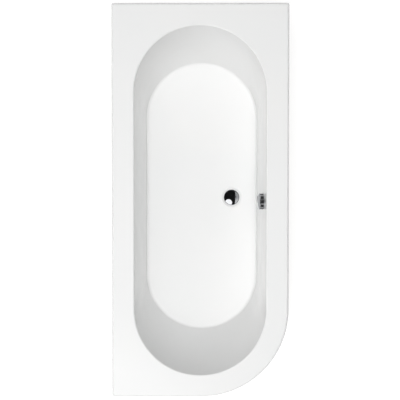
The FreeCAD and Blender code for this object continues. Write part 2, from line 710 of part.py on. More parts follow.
def wall_brackets():
    left = "-bath_width / 2"
    wall_bracket("wall_bracket_left_head", None, left, BRACKET_Y)
    wall_bracket("wall_bracket_left_foot", None, left, f"-{BRACKET_Y}")
    wall_bracket("wall_bracket_head", (FreeCAD.Vector(0, 0, -1), "90"), "0", "bath_length / 2")
    places = bracket_screw_places()
    screws("bracket_screws", places["left"] + places["head"], f"{BATTEN_UNDER} - bracket_thickness")


def spider(body, hub_low, bore, reach):
    """Three arms inside a neck that carry a bush for a shaft along the body's Z axis."""
    ring(body, "bush", bore, f"{bore} + bush_wall", hub_low, f"{hub_low} + bush_length")
    sketch = new_sketch(body, "arm_outline", lift=hub_low)
    rectangle(sketch, f"{bore} + bush_wall / 2", reach, "-spider_arm_width / 2", "spider_arm_width / 2")
    arm = add(body, "Pad", "arm", sketch, Length="spider_arm_height")
    DOC.recompute()
    repeat(body, "arms", arm, ARM_COUNT)


def waste_fitting():
    """The parts that clamp the waste to the basin's floor, from the flange down to the cup."""
    neck_inner = "(waste_neck_radius - waste_neck_wall)"
    flange = new_body("waste_flange")
    revolve(flange, "flange", [
        (neck_inner, NECK_END), ("waste_neck_radius", NECK_END), ("waste_neck_radius", FLANGE_UNDER),
        ("waste_flange_radius", FLANGE_UNDER),
        ("waste_flange_radius", f"{FLANGE_TOP} - waste_flange_thickness / 2"),
        ("waste_flange_radius - waste_flange_thickness / 2", FLANGE_TOP),
        (f"{neck_inner} + waste_flange_thickness", FLANGE_TOP), (neck_inner, FLANGE_UNDER)])
    spider(flange, f"({NECK_END} + spider_arm_height)", "(stem_radius + running_clearance)",
           f"{neck_inner} + waste_neck_wall / 2")
    place(flange, WASTE_X, WASTE_Y)
    gasket = new_body("waste_top_gasket")
    ring(gasket, "gasket", "waste_neck_radius + gasket_margin", "waste_flange_radius - gasket_margin", SEAT,
         FLANGE_UNDER)
    place(gasket, WASTE_X, WASTE_Y)
    washer = new_body("waste_bottom_washer")
    ring(washer, "washer", f"{WASTE_HOLE} + gasket_margin", WASHER, BODY_TOP, SEAT_UNDER)
    place(washer, WASTE_X, WASTE_Y)
    waste_body()


def waste_body():
    """The cup under the floor, with the tee for the overflow pipe and the spigot for the trap."""
    body = new_body("waste_body")
    spigot = "(trap_radius + socket_clearance + socket_wall)"
    flange_under = f"({BODY_TOP} - body_flange_thickness)"
    revolve(body, "cup", [("0", SPIGOT_END), (spigot, SPIGOT_END), (spigot, CUP_UNDER),
                          ("cup_radius", CUP_UNDER), ("cup_radius", flange_under),
                          (WASHER, flange_under), (WASHER, BODY_TOP), ("0", BODY_TOP)])
    tee_bore = "(pipe_radius - pipe_wall)"
    tee = new_sketch(body, "tee_outline", "YZ_Plane")
    circle(tee, "0", TEE_LEVEL, "pipe_radius + socket_clearance + socket_wall")
    add(body, "Pad", "tee", tee, Length="tee_reach")
    inside = "(cup_radius - cup_wall)"
    bore, socket = "(trap_radius - trap_wall)", "(trap_radius + socket_clearance)"
    threaded = "(waste_neck_radius + thread_clearance)"
    collar = f"({BODY_TOP} - cup_collar_depth)"
    cup_floor = f"({CUP_UNDER} + cup_wall)"
    socket_top = f"({SPIGOT_END} + socket_depth)"
    revolve(body, "cavity", [("0", SPIGOT_END), (socket, SPIGOT_END), (socket, socket_top),
                             (bore, socket_top), (bore, cup_floor), (inside, cup_floor), (inside, collar),
                             (threaded, collar), (threaded, BODY_TOP), ("0", BODY_TOP)], kind="Groove")
    branch = new_sketch(body, "branch_outline", "YZ_Plane")
    circle(branch, "0", TEE_LEVEL, tee_bore)
    add(body, "Pocket", "branch", branch, Length="tee_reach").Reversed = True
    mouth = new_sketch(body, "mouth_outline", "YZ_Plane", lift="tee_reach - socket_depth")
    circle(mouth, "0", TEE_LEVEL, "pipe_radius + socket_clearance")
    add(body, "Pocket", "mouth", mouth, Length="socket_depth").Reversed = True
    pin = new_sketch(body, "pin_outline", "XZ_Plane")
    circle(pin, "lever_arm", TEE_LEVEL, "pin_radius + press_clearance")
    add(body, "Pocket", "pin_hole", pin, Length="4 * cup_radius").Midplane = True
    place(body, WASTE_X, WASTE_Y)


def plug():
    """The pop-up plug: domed cap, rubber ring and stem."""
    seal_low = f"({FLANGE_TOP} + plug_rest_gap)"
    cap_under = f"({seal_low} + plug_seal_thickness)"
    cap_edge = f"({cap_under} + plug_cap_wall)"
    seal_outer = "(waste_neck_radius - waste_neck_wall + waste_flange_thickness + plug_seal_width)"
    # The crown is an arc from the edge of the cap to its middle.
    crown = "((plug_cap_radius * plug_cap_radius + plug_cap_rise * plug_cap_rise) / 2 / plug_cap_rise)"
    cap = new_body("plug_cap")
    top = f"{cap_edge} + plug_cap_rise"
    corners = [("0", cap_under), ("plug_cap_radius", cap_under), ("plug_cap_radius", cap_edge), ("0", top)]
    revolve(cap, "cap", corners, {2: ("0", f"{top} - {crown}")})
    place(cap, WASTE_X, WASTE_Y)
    seal = new_body("plug_seal")
    ring(seal, "seal", f"{seal_outer} - plug_seal_width - waste_neck_wall", seal_outer, seal_low, cap_under)
    place(seal, WASTE_X, WASTE_Y)
    stem = new_body("plug_stem")
    nose_top = f"({TEE_LEVEL} - plug_lift / 2 + lever_nose_radius)"
    ring(stem, "stem", "0", "stem_radius", f"{nose_top} + lever_gap", cap_under)
    place(stem, WASTE_X, WASTE_Y)


def lift_lever():
    """The lever in the tee that pushes the stem up, on its cross pin, with a hook for the pull cable."""
    body = new_body("lift_lever")
    nose = (f"(lever_arm - lever_arm * cos({LEVER_SWING}))", f"({TEE_LEVEL} - plug_lift / 2)")
    across = (f"lever_bar_height / 2 * sin({LEVER_SWING})", f"lever_bar_height / 2 * cos({LEVER_SWING})")
    upper = [(f"{x} - {across[0]}", f"{z} + {across[1]}") for x, z in (nose, ("lever_arm", TEE_LEVEL))]
    lower = [(f"{x} + {across[0]}", f"{z} - {across[1]}") for x, z in (("lever_arm", TEE_LEVEL), nose)]
    bar = new_sketch(body, "bar_outline", "XZ_Plane")
    draw(bar, upper + lower)
    add(body, "Pad", "bar", bar, Length="lever_width").Midplane = True
    tip = new_sketch(body, "nose_outline", "XZ_Plane")
    circle(tip, *nose, "lever_nose_radius")
    add(body, "Pad", "nose", tip, Length="lever_width").Midplane = True
    hub = new_sketch(body, "hub_outline", "XZ_Plane")
    circle(hub, "lever_arm", TEE_LEVEL, "lever_hub_radius")
    add(body, "Pad", "hub", hub, Length="lever_width").Midplane = True
    hook = new_sketch(body, "hook_outline", "XZ_Plane")
    hook_top = f"{TEE_LEVEL} + lever_hook_reach"
    rectangle(hook, "lever_arm - pin_radius", "lever_arm + pin_radius", TEE_LEVEL, hook_top)
    add(body, "Pad", "hook", hook, Length="lever_width / 2").Midplane = True
    bore = new_sketch(body, "bore_outline", "XZ_Plane")
    circle(bore, "lever_arm", TEE_LEVEL, "pin_radius + running_clearance")
    add(body, "Pocket", "bore", bore, Length="2 * lever_width").Midplane = True
    place(body, WASTE_X, WASTE_Y)
    pin = new_body("lever_pin")
    sketch = new_sketch(pin, "outline", "XZ_Plane")
    circle(sketch, "lever_arm", TEE_LEVEL, "pin_radius")
    length = "2 * (pipe_radius + socket_clearance + socket_wall)"
    add(pin, "Pad", "pin", sketch, Length=length).Midplane = True
    place(pin, WASTE_X, WASTE_Y)


def overflow_fitting():
    """The overflow's parts about the wall's normal: slotted flange, seal, body, knob, spindle and drum."""
    neck = "(overflow_hole_radius - overflow_neck_clearance)"
    neck_inner = f"({neck} - overflow_neck_wall)"
    slots_top = "(overflow_flange_thickness + slot_depth)"
    flange = new_body("overflow_flange")
    revolve(flange, "flange", [
        (neck_inner, "-overflow_neck_length"), (neck, "-overflow_neck_length"), (neck, "0"),
        (OVERFLOW_FLANGE, "0"), (OVERFLOW_FLANGE, slots_top),
        (f"{OVERFLOW_FLANGE} - slot_ring_wall", slots_top),
        (f"{OVERFLOW_FLANGE} - slot_ring_wall", "overflow_flange_thickness"),
        (neck_inner, "overflow_flange_thickness")])
    spider(flange, "(-overflow_neck_length + spider_arm_height)", "(spindle_radius + running_clearance)",
           f"{neck_inner} + overflow_neck_wall / 2")
    slot = new_sketch(flange, "slot_outline", lift=slots_top)
    reach = f"{OVERFLOW_FLANGE} * sin(180 / {SLOT_COUNT} * slot_share)"
    rectangle(slot, neck_inner, f"2 * {OVERFLOW_FLANGE}", f"-{reach}", reach)
    cut = add(flange, "Pocket", "slot", slot, Length="slot_depth")
    DOC.recompute()
    repeat(flange, "slots", cut, SLOT_COUNT)
    seal = new_body("overflow_seal")
    seal_back = f"(-{WALL_BACK} - overflow_seal_thickness)"
    ring(seal, "seal", "overflow_hole_radius + gasket_margin", OVERFLOW_SEAL, seal_back, f"-{WALL_BACK}")
    overflow_body(seal_back)
    spindle_end = "(-pipe_setback - drum_width / 2)"
    knob_back = f"({slots_top} + knob_gap)"
    knob_front = f"({knob_back} + knob_thickness)"
    knob = new_body("overflow_knob")
    bore = "(spindle_radius + press_clearance)"
    inner = f"({KNOB} - knob_shell)"
    hollow = f"({knob_front} - knob_shell)"
    face = f"({KNOB} - knob_edge_width)"
    lip_front = f"({knob_back} + knob_lip)"
    # The dome is an arc from the lip to the face, about a point on the line square to its chord.
    climb = "(knob_thickness - knob_lip)"
    chord = f"sqrt(knob_edge_width * knob_edge_width + {climb} * {climb})"
    depth = f"(sqrt(knob_dome_radius * knob_dome_radius - {chord} * {chord} / 4) / {chord})"
    dome_middle = (f"{KNOB} - knob_edge_width / 2 - {depth} * {climb}",
                   f"{lip_front} + {climb} / 2 - {depth} * knob_edge_width")
    # The face is an arc from the dome to the knob's middle.
    crown = f"(({face} * {face} + knob_crown * knob_crown) / 2 / knob_crown)"
    top = f"{knob_front} + knob_crown"
    revolve(knob, "knob", [
        (bore, knob_back), (f"{bore} + bush_wall", knob_back), (f"{bore} + bush_wall", hollow),
        (f"{face} - knob_shell / 2", hollow), (inner, f"{knob_back} + knob_lip / 2"), (inner, knob_back),
        (KNOB, knob_back), (KNOB, lip_front), (face, knob_front), ("0", top), ("0", hollow), (bore, hollow)],
        {7: dome_middle, 8: ("0", f"{top} - {crown}")})
    spindle = new_body("knob_spindle")
    ring(spindle, "spindle", "0", "spindle_radius", spindle_end, hollow)
    drum = new_body("cable_drum")
    middle = "(-pipe_setback)"
    revolve(drum, "drum", [
        (bore, f"{middle} - drum_width / 2"), ("drum_radius", f"{middle} - drum_width / 2"),
        ("drum_radius", f"{middle} - drum_groove_radius"), ("drum_radius", f"{middle} + drum_groove_radius"),
        ("drum_radius", f"{middle} + drum_width / 2"), (bore, f"{middle} + drum_width / 2")],
        {2: ("drum_radius", middle, "clockwise")})
    for body in (flange, seal, knob, spindle, drum):
        place(body, OVERFLOW_X, WASTE_Y, OVERFLOW_Z, TOWARDS_WALL_NORMAL)


def overflow_body(seal_back):
    """The bowl behind the wall, with a spigot down to the overflow pipe."""
    body = new_body("overflow_body")
    back = "(-pipe_setback - pipe_radius - socket_clearance - socket_wall)"
    flange_back = f"({seal_back} - overflow_body_flange_thickness)"
    revolve(body, "bowl", [("0", back), (BOWL, back), (BOWL, flange_back), (OVERFLOW_SEAL, flange_back),
                           (OVERFLOW_SEAL, seal_back), ("0", seal_back)])
    spigot = new_sketch(body, "spigot_outline", "YZ_Plane")
    circle(spigot, "0", "-pipe_setback", "pipe_radius + socket_clearance + socket_wall")
    add(body, "Pad", "spigot", spigot, Length="overflow_spigot_reach").Reversed = True
    inside = f"({BOWL} - bowl_wall)"
    threaded = "(overflow_hole_radius - overflow_neck_clearance + thread_clearance)"
    hollow = f"{back} + bowl_wall"
    revolve(body, "cavity", [("0", hollow), (inside, hollow), (inside, flange_back), (threaded, flange_back),
                             (threaded, seal_back), ("0", seal_back)], kind="Groove")
    branch = new_sketch(body, "branch_outline", "YZ_Plane")
    circle(branch, "0", "-pipe_setback", "pipe_radius - pipe_wall")
    add(body, "Pocket", "branch", branch, Length="overflow_spigot_reach")
    mouth = new_sketch(body, "mouth_outline", "YZ_Plane", lift="socket_depth - overflow_spigot_reach")
    circle(mouth, "0", "-pipe_setback", "pipe_radius + socket_clearance")
    add(body, "Pocket", "mouth", mouth, Length="socket_depth")
    place(body, OVERFLOW_X, WASTE_Y, OVERFLOW_Z, TOWARDS_WALL_NORMAL)


def down_the_wall(run):
    """The place on the overflow pipe's line at a distance below the overflow's middle."""
    return (f"{OVERFLOW_X} - {run} * sin(side_wall_angle) + pipe_setback * cos(side_wall_angle)",
            f"{OVERFLOW_Z} - {run} * cos(side_wall_angle) - pipe_setback * sin(side_wall_angle)")


def overflow_pipe():
    """The rigid pipe down the outside of the wall and across to the waste's tee."""
    body = new_body("overflow_pipe")
    path = new_sketch(body, "path", "XZ_Plane")
    turn = "(90 - side_wall_angle)"
    tangent = f"(pipe_bend_radius * tan({turn} / 2))"
    start = f"({WASTE_X} + tee_reach - socket_depth)"
    top = down_the_wall("(overflow_spigot_reach - socket_depth)")
    bend_in = (f"{PIPE_CORNER_X} - {tangent}", TEE_LEVEL)
    bend_out = (f"{PIPE_CORNER_X} + {tangent} * sin(side_wall_angle)",
                f"{TEE_LEVEL} + {tangent} * cos(side_wall_angle)")
    draw(path, [(start, TEE_LEVEL), bend_in, bend_out, top],
         {1: (f"{PIPE_CORNER_X} - {tangent}", f"{TEE_LEVEL} + pipe_bend_radius")}, closed=False)
    section = new_sketch(body, "section", "YZ_Plane", lift=start)
    circle(section, "0", TEE_LEVEL, "pipe_radius")
    circle(section, "0", TEE_LEVEL, "pipe_radius - pipe_wall")
    sweep(body, "AdditivePipe", "pipe", section, path, 3)
    place(body, y=WASTE_Y)


def compression_joint(nut_label, seal_label, pipe, *spot):
    """A nut and a seal over the mouth of a socket, drawn with the mouth at height 0 and the pipe coming out
    upwards."""
    socket = f"({pipe} + socket_clearance + socket_wall)"
    nut = new_body(nut_label)
    inner, outer = f"({socket} + thread_clearance)", f"({socket} + thread_clearance + joint_nut_wall)"
    end = "(joint_seal_thickness + joint_nut_wall)"
    hole = f"({pipe} + socket_clearance)"
    revolve(nut, "sleeve", [(inner, "-joint_nut_grip"), (outer, "-joint_nut_grip"),
                            (outer, "joint_seal_thickness"), (f"{outer} - joint_nut_wall / 2", end),
                            (hole, end), (hole, "joint_seal_thickness"), (inner, "joint_seal_thickness")])
    rib = new_sketch(nut, "rib_outline", lift="-joint_nut_grip")
    rectangle(rib, f"{outer} - joint_nut_wall / 2", f"{outer} + joint_nut_rib", "-joint_nut_rib",
              "joint_nut_rib")
    grip = add(nut, "Pad", "rib", rib, Length="joint_nut_grip + joint_seal_thickness")
    DOC.recompute()
    repeat(nut, "ribs", grip, RIB_COUNT)
    place(nut, *spot)
    seal = new_body(seal_label)
    ring(seal, "seal", f"{pipe} + socket_clearance", f"{socket} - socket_clearance", "0",
         "joint_seal_thickness")
    place(seal, *spot)


def trap():
    """The shallow trap: down from the cup, round a U, and out towards the foot end."""
    body = new_body("trap_bend")
    path = new_sketch(body, "path", "YZ_Plane")
    rise = f"({TRAP_CENTRE} + trap_rise)"
    out = f"({TRAP_UP} - trap_outlet_bend_radius)"
    start = f"({SPIGOT_END} + socket_depth)"
    draw(path, [("0", start), ("0", TRAP_CENTRE), (TRAP_UP, TRAP_CENTRE), (TRAP_UP, rise),
                (out, TRAP_OUTLET_LEVEL), (TRAP_OUTLET_START, TRAP_OUTLET_LEVEL)],
         {1: ("-trap_bend_radius", TRAP_CENTRE, "clockwise"), 3: (out, rise)}, closed=False)
    section = new_sketch(body, "section", lift=start)
    circle(section, "0", "0", "trap_radius")
    sweep(body, "AdditivePipe", "tube", section, path, 5)
    socket = new_sketch(body, "socket_outline", "XZ_Plane", lift=f"-{TRAP_OUTLET_START}")
    circle(socket, "0", TRAP_OUTLET_LEVEL, "drain_pipe_radius + socket_clearance + socket_wall")
    add(body, "Pad", "socket", socket, Length="trap_outlet_length")
    boss = new_sketch(body, "eye_outline", "XZ_Plane", lift=f"-{TRAP_UP}")
    circle(boss, "0", TRAP_CENTRE, "eye_radius")
    add(body, "Pad", "eye", boss, Length="trap_radius + eye_reach")
    bore = new_sketch(body, "bore_section", lift=start)
    circle(bore, "0", "0", "trap_radius - trap_wall")
    sweep(body, "SubtractivePipe", "bore", bore, path, 5)
    mouth = new_sketch(body, "mouth_outline", "XZ_Plane", lift=f"-{TRAP_OUTLET_START}")
    circle(mouth, "0", TRAP_OUTLET_LEVEL, "drain_pipe_radius + socket_clearance")
    add(body, "Pocket", "mouth", mouth, Length="trap_outlet_length").Reversed = True
    eye = new_sketch(body, "eye_bore_outline", "XZ_Plane", lift=f"-{TRAP_UP}")
    circle(eye, "0", TRAP_CENTRE, "eye_radius - trap_wall")
    add(body, "Pocket", "eye_bore", eye, Length="trap_radius + eye_reach").Reversed = True
    place(body, WASTE_X, WASTE_Y)
    seal = new_body("eye_seal")
    ring(seal, "seal", "eye_radius - trap_wall", "eye_radius", "0", "gasket_thickness")
    cap = new_body("eye_cap")
    skirt = "(eye_radius + thread_clearance)"
    cap_end = "(gasket_thickness + eye_cap_thickness)"
    revolve(cap, "cap", [("0", "gasket_thickness"), (skirt, "gasket_thickness"), (skirt, "-eye_cap_skirt"),
                         (f"{skirt} + trap_wall", "-eye_cap_skirt"), (f"{skirt} + trap_wall", cap_end),
                         ("0", cap_end)])
    for piece in (seal, cap):
        eye_end = f"{WASTE_Y} + {TRAP_UP} - trap_radius - eye_reach"
        place(piece, WASTE_X, eye_end, TRAP_CENTRE, TOWARDS_FOOT_END)


def check_and_write():
    """Stops on anything that failed to build, then writes one file per sub-part."""
    DOC.recompute()
    for thing in DOC.Objects:
        if "Invalid" in thing.State or "Error" in thing.State:
            raise RuntimeError(f"{thing.Name} failed: {thing.State}")
    for part in SUB_PARTS:
        if part.Shape.isNull() or not part.Shape.isValid():
            raise RuntimeError(f"{part.Label} has no valid shape")
    os.makedirs("parts", exist_ok=True)
    for part in SUB_PARTS:
        part.Shape.exportStep(f"parts/{part.Label}.step")


bath_shell()
fibreglass_backing()
base_board()
rim_battens()
cradle_rail("cradle_rail_head", 1)
cradle_rail("cradle_rail_foot", -1)
screws("cradle_screws", four_places(SCREW_X, RAIL_Y), f"{RAIL_TOP} - rail_wall")
nuts("rail_nuts", RAIL_TOP, "nut_height")
nuts("lock_nuts", f"{RAIL_TOP} - rail_wall - lock_nut_height", "lock_nut_height")
foot_names = ("left_foot", "left_head", "right_foot", "right_head")
for foot_name, (foot_x, foot_y) in zip(foot_names, four_places(FOOT_X, RAIL_Y)):
    foot(foot_name, foot_x, foot_y)
wall_brackets()
waste_fitting()
plug()
lift_lever()
overflow_fitting()
overflow_pipe()
compression_joint("pipe_nut_lower", "pipe_seal_lower", "pipe_radius",
                  f"{WASTE_X} + tee_reach", WASTE_Y, TEE_LEVEL, TOWARDS_X)
spigot_x, spigot_z = down_the_wall("overflow_spigot_reach")
compression_joint("pipe_nut_upper", "pipe_seal_upper", "pipe_radius",
                  spigot_x, WASTE_Y, spigot_z, DOWN_THE_WALL)
compression_joint("trap_inlet_nut", "trap_inlet_seal", "trap_radius",
                  WASTE_X, WASTE_Y, SPIGOT_END, DOWNWARDS)
trap()
compression_joint("trap_outlet_nut", "trap_outlet_seal", "drain_pipe_radius",
                  WASTE_X, f"{WASTE_Y} + {TRAP_OUTLET_START} - trap_outlet_length", TRAP_OUTLET_LEVEL,
                  TOWARDS_FOOT_END)
check_and_write()
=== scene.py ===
import math

import bmesh
import bpy
from mathutils import Matrix, Vector


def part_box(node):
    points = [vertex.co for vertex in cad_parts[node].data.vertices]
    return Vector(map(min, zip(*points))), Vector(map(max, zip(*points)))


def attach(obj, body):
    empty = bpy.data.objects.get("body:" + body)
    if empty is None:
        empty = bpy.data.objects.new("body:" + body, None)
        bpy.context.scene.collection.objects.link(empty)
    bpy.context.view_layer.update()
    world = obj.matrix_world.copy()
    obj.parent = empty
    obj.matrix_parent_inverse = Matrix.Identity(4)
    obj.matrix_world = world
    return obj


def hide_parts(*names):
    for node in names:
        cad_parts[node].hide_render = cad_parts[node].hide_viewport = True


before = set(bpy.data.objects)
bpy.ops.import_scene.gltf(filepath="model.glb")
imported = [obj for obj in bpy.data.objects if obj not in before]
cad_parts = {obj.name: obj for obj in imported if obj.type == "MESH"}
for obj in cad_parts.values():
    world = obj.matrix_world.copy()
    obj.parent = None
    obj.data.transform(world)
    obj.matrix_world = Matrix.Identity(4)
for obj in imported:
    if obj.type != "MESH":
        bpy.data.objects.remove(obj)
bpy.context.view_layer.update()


# Bath shell: a sheet of white acrylic, heated and drawn by vacuum over a mould into the rim, the oval basin
# and the turned-down lip. The gloss is the sheet's own, and the drawing leaves a faint ripple in reflections.
def add_node(tree, kind, inputs=None, **settings):
    """A shader node with its settings, and with each input linked to a socket or set to a value."""
    made = tree.nodes.new("ShaderNode" + kind)
    for setting, value in settings.items():
        setattr(made, setting, value)
    for socket, value in (inputs or {}).items():
        if isinstance(value, bpy.types.NodeSocket):
            tree.links.new(value, made.inputs[socket])
        else:
            made.inputs[socket].default_value = value
    return made


def new_group(name, inputs, outputs):
    """An empty node group with named sockets, and the two nodes that stand for them inside it."""
    group = bpy.data.node_groups.new(name, "ShaderNodeTree")
    for socket, kind, value in inputs:
        made = group.interface.new_socket(socket, in_out="INPUT", socket_type="NodeSocket" + kind)
        made.default_value = value
    for socket, kind in outputs:
        group.interface.new_socket(socket, in_out="OUTPUT", socket_type="NodeSocket" + kind)
    return group, group.nodes.new("NodeGroupInput"), group.nodes.new("NodeGroupOutput")


def add_group(tree, group, **inputs):
    """A node group placed in a material with its own values."""
    return add_node(tree, "Group", inputs, node_tree=group)


def new_finish(name, **sockets):
    """A material whose shader has its plain values set on its own sockets."""
    finish = bpy.data.materials.new(name)
    finish.use_nodes = True
    shader = finish.node_tree.nodes["Principled BSDF"]
    for socket, value in sockets.items():
        shader.inputs[socket.replace("_", " ")].default_value = value
    return finish, finish.node_tree, shader


def colour_between(tree, shader, mask, first, second):
    """The shader's colour, from the first to the second as the mask goes from 0 to 1."""
    mixed = add_node(tree, "Mix", {"Factor": mask, "A": (*first, 1), "B": (*second, 1)}, data_type="RGBA")
    tree.links.new(mixed.outputs["Result"], shader.inputs["Base Color"])


def roughen(tree, shader, scale, low, high):
    """Cloudy changes of the shader's roughness between two values."""
    cloud = add_group(tree, mottle, Scale=scale, Detail=CLOUD_DETAIL, Low=low, High=high)
    tree.links.new(cloud.outputs["Value"], shader.inputs["Roughness"])


def emboss(tree, shader, height, depth, normal=None):
    """A bump of the given depth in metres, on the shader's own normal or on another one."""
    bump = add_node(tree, "Bump", {"Height": height, "Distance": depth})
    if normal:
        tree.links.new(normal, bump.inputs["Normal"])
    tree.links.new(bump.outputs["Normal"], shader.inputs["Normal"])


def cloudy_finish(name, first, second, tone, gloss, skin, edge_radius=None, rubbed=None, **sockets):
    """A finish with cloudy colour and gloss and a fine skin, and softened edges where a radius is given."""
    finish, tree, shader = new_finish(name, **sockets)
    cloud = add_group(tree, mottle, Scale=tone["scale"], Detail=tone["detail"])
    colour_between(tree, shader, cloud.outputs["Mask"], first, second)
    roughen(tree, shader, **gloss)
    fine = add_group(tree, mottle, Scale=skin["scale"], Detail=skin["detail"])
    edges = add_group(tree, softened, Radius=edge_radius) if edge_radius else None
    if rubbed:
        rub_edges(tree, shader, edges, rubbed)
    emboss(tree, shader, fine.outputs["Mask"], skin["depth"], edges.outputs["Normal"] if edges else None)
    return finish


def dress(finish, *nodes):
    """Gives CAD nodes a finish."""
    for name in nodes:
        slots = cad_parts[name].data.materials
        slots.clear()
        slots.append(finish)


CLOUD_LOW, CLOUD_HIGH, CLOUD_DETAIL = 0.3, 0.7, 4.0
mottle, given, result = new_group(
    "Mottle", [("Scale", "Float", 5), ("Detail", "Float", 2), ("Low", "Float", 0), ("High", "Float", 1)],
    [("Value", "Float"), ("Mask", "Float")])
place = add_node(mottle, "TexCoord")
cloud = add_node(mottle, "TexNoise", {"Vector": place.outputs["Object"], "Scale": given.outputs["Scale"],
                                      "Detail": given.outputs["Detail"]})
mask = add_node(mottle, "MapRange", {"Value": cloud.outputs["Fac"], "From Min": CLOUD_LOW,
                                     "From Max": CLOUD_HIGH})
spread = add_node(mottle, "MapRange", {"Value": mask.outputs["Result"], "To Min": given.outputs["Low"],
                                       "To Max": given.outputs["High"]})
mottle.links.new(spread.outputs["Result"], result.inputs["Value"])
mottle.links.new(mask.outputs["Result"], result.inputs["Mask"])

acrylic = cloudy_finish(
    "white_acrylic", first=(0.82, 0.825, 0.823), second=(0.835, 0.835, 0.83),
    tone=dict(scale=2.5, detail=3.0), gloss=dict(scale=9.0, low=0.12, high=0.18),
    skin=dict(scale=11.0, detail=1.0, depth=0.00008))
dress(acrylic, "bath_shell")

# Fibreglass backing: chopped glass strands sprayed on the sheet's back with polyester resin and rolled down,
# 3 mm thick and bonded to it. It stays rough and straw-coloured, and the strands' random lie shows through.
STRAND_STRETCH = (22, 620, 620)
FULL_TURN = (math.tau, math.tau, math.tau)
strands, given, result = new_group("Chopped strands", [("Patch Scale", "Float", 25)], [("Strand", "Float")])
place = add_node(strands, "TexCoord")
patch = add_node(strands, "TexVoronoi", {"Vector": place.outputs["Object"],
                                         "Scale": given.outputs["Patch Scale"]})
from_middle = add_node(strands, "VectorMath", {0: place.outputs["Object"], 1: patch.outputs["Position"]},
                       operation="SUBTRACT")
lie = add_node(strands, "VectorMath", {0: patch.outputs["Color"], 1: FULL_TURN}, operation="MULTIPLY")
turned = add_node(strands, "VectorRotate", {"Vector": from_middle.outputs[0], "Rotation": lie.outputs[0]},
                  rotation_type="EULER_XYZ")
drawn = add_node(strands, "VectorMath", {0: turned.outputs[0], 1: STRAND_STRETCH}, operation="MULTIPLY")
own = add_node(strands, "VectorMath", {0: drawn.outputs[0], 1: patch.outputs["Color"]}, operation="ADD")
fibre = add_node(strands, "TexNoise", {"Vector": own.outputs[0], "Scale": 1.0, "Detail": 3.0,
                                       "Roughness": 0.6})
raised = add_node(strands, "MapRange", {"Value": fibre.outputs["Fac"], "From Min": 0.42, "From Max": 0.68})
strands.links.new(raised.outputs["Result"], result.inputs["Strand"])

fibreglass, tree, shader = new_finish("sprayed_fibreglass")
upper = add_group(tree, strands, **{"Patch Scale": 24.0})
lower = add_group(tree, strands, **{"Patch Scale": 37.0})
mat = add_node(tree, "Math", {0: upper.outputs[0], 1: lower.outputs[0]}, operation="MAXIMUM")
resin = add_group(tree, mottle, Scale=6.0, Detail=3.0, Low=0.35, High=1.0)
shown = add_node(tree, "Math", {0: mat.outputs[0], 1: resin.outputs["Value"]}, operation="MULTIPLY")
colour_between(tree, shader, shown.outputs[0], first=(0.64, 0.60, 0.48), second=(0.84, 0.82, 0.73))
roughen(tree, shader, scale=60.0, low=0.32, high=0.6)
emboss(tree, shader, mat.outputs[0], depth=0.0009)
dress(fibreglass, "fibreglass_backing")

# Base board: a sheet of raw chipboard under the basin's floor, bedded in the sprayed backing, with a notch
# cut round the waste. Paler and darker wood flakes show on its faces, and its cut edges are rubbed pale.
def rub_edges(tree, shader, edges, colour):
    """Mixes another colour into the shader's own where handling has rubbed the edges."""
    under = shader.inputs["Base Color"].links[0].from_socket
    mixed = add_node(tree, "Mix", {"Factor": edges.outputs["Edge"], "A": under, "B": (*colour, 1)},
                     data_type="RGBA")
    tree.links.new(mixed.outputs["Result"], shader.inputs["Base Color"])


softened, given, result = new_group(
    "Softened edges", [("Radius", "Float", 0.001)], [("Normal", "Vector"), ("Edge", "Float")])
rounded = add_node(softened, "Bevel", {"Radius": given.outputs["Radius"]}, samples=4)
flat = add_node(softened, "NewGeometry")
agree = add_node(softened, "VectorMath", {0: rounded.outputs[0], 1: flat.outputs["Normal"]},
                 operation="DOT_PRODUCT")
place = add_node(softened, "TexCoord")
handling = add_node(softened, "TexNoise", {"Vector": place.outputs["Object"], "Scale": 140.0, "Detail": 3.0})
wear = add_node(softened, "MapRange", {"Value": handling.outputs["Fac"], "From Min": 0.35, "From Max": 0.6})
edge = add_node(softened, "MapRange", {"Value": agree.outputs["Value"], "From Min": 0.995, "From Max": 0.85,
                                       "To Max": wear.outputs["Result"]})
softened.links.new(rounded.outputs[0], result.inputs["Normal"])
softened.links.new(edge.outputs["Result"], result.inputs["Edge"])

chipboard, tree, shader = new_finish("raw_chipboard")
edges = add_group(tree, softened, Radius=0.0015)
place = add_node(tree, "TexCoord")
flake = add_node(tree, "TexVoronoi", {"Vector": place.outputs["Object"], "Scale": 240.0})
fine = add_node(tree, "TexVoronoi", {"Vector": place.outputs["Object"], "Scale": 700.0})
flake_tone = add_node(tree, "SeparateColor", {"Color": flake.outputs["Color"]})
fine_tone = add_node(tree, "SeparateColor", {"Color": fine.outputs["Color"]})
blend = add_node(tree, "Math", {0: flake_tone.outputs[0], 1: fine_tone.outputs[0]}, operation="MULTIPLY")
colour_between(tree, shader, blend.outputs[0], first=(0.50, 0.37, 0.22), second=(0.80, 0.66, 0.46))
rub_edges(tree, shader, edges, (0.86, 0.75, 0.58))
roughen(tree, shader, scale=80.0, low=0.6, high=0.85)
emboss(tree, shader, fine_tone.outputs[1], depth=0.0003, normal=edges.outputs["Normal"])
dress(chipboard, "base_board")

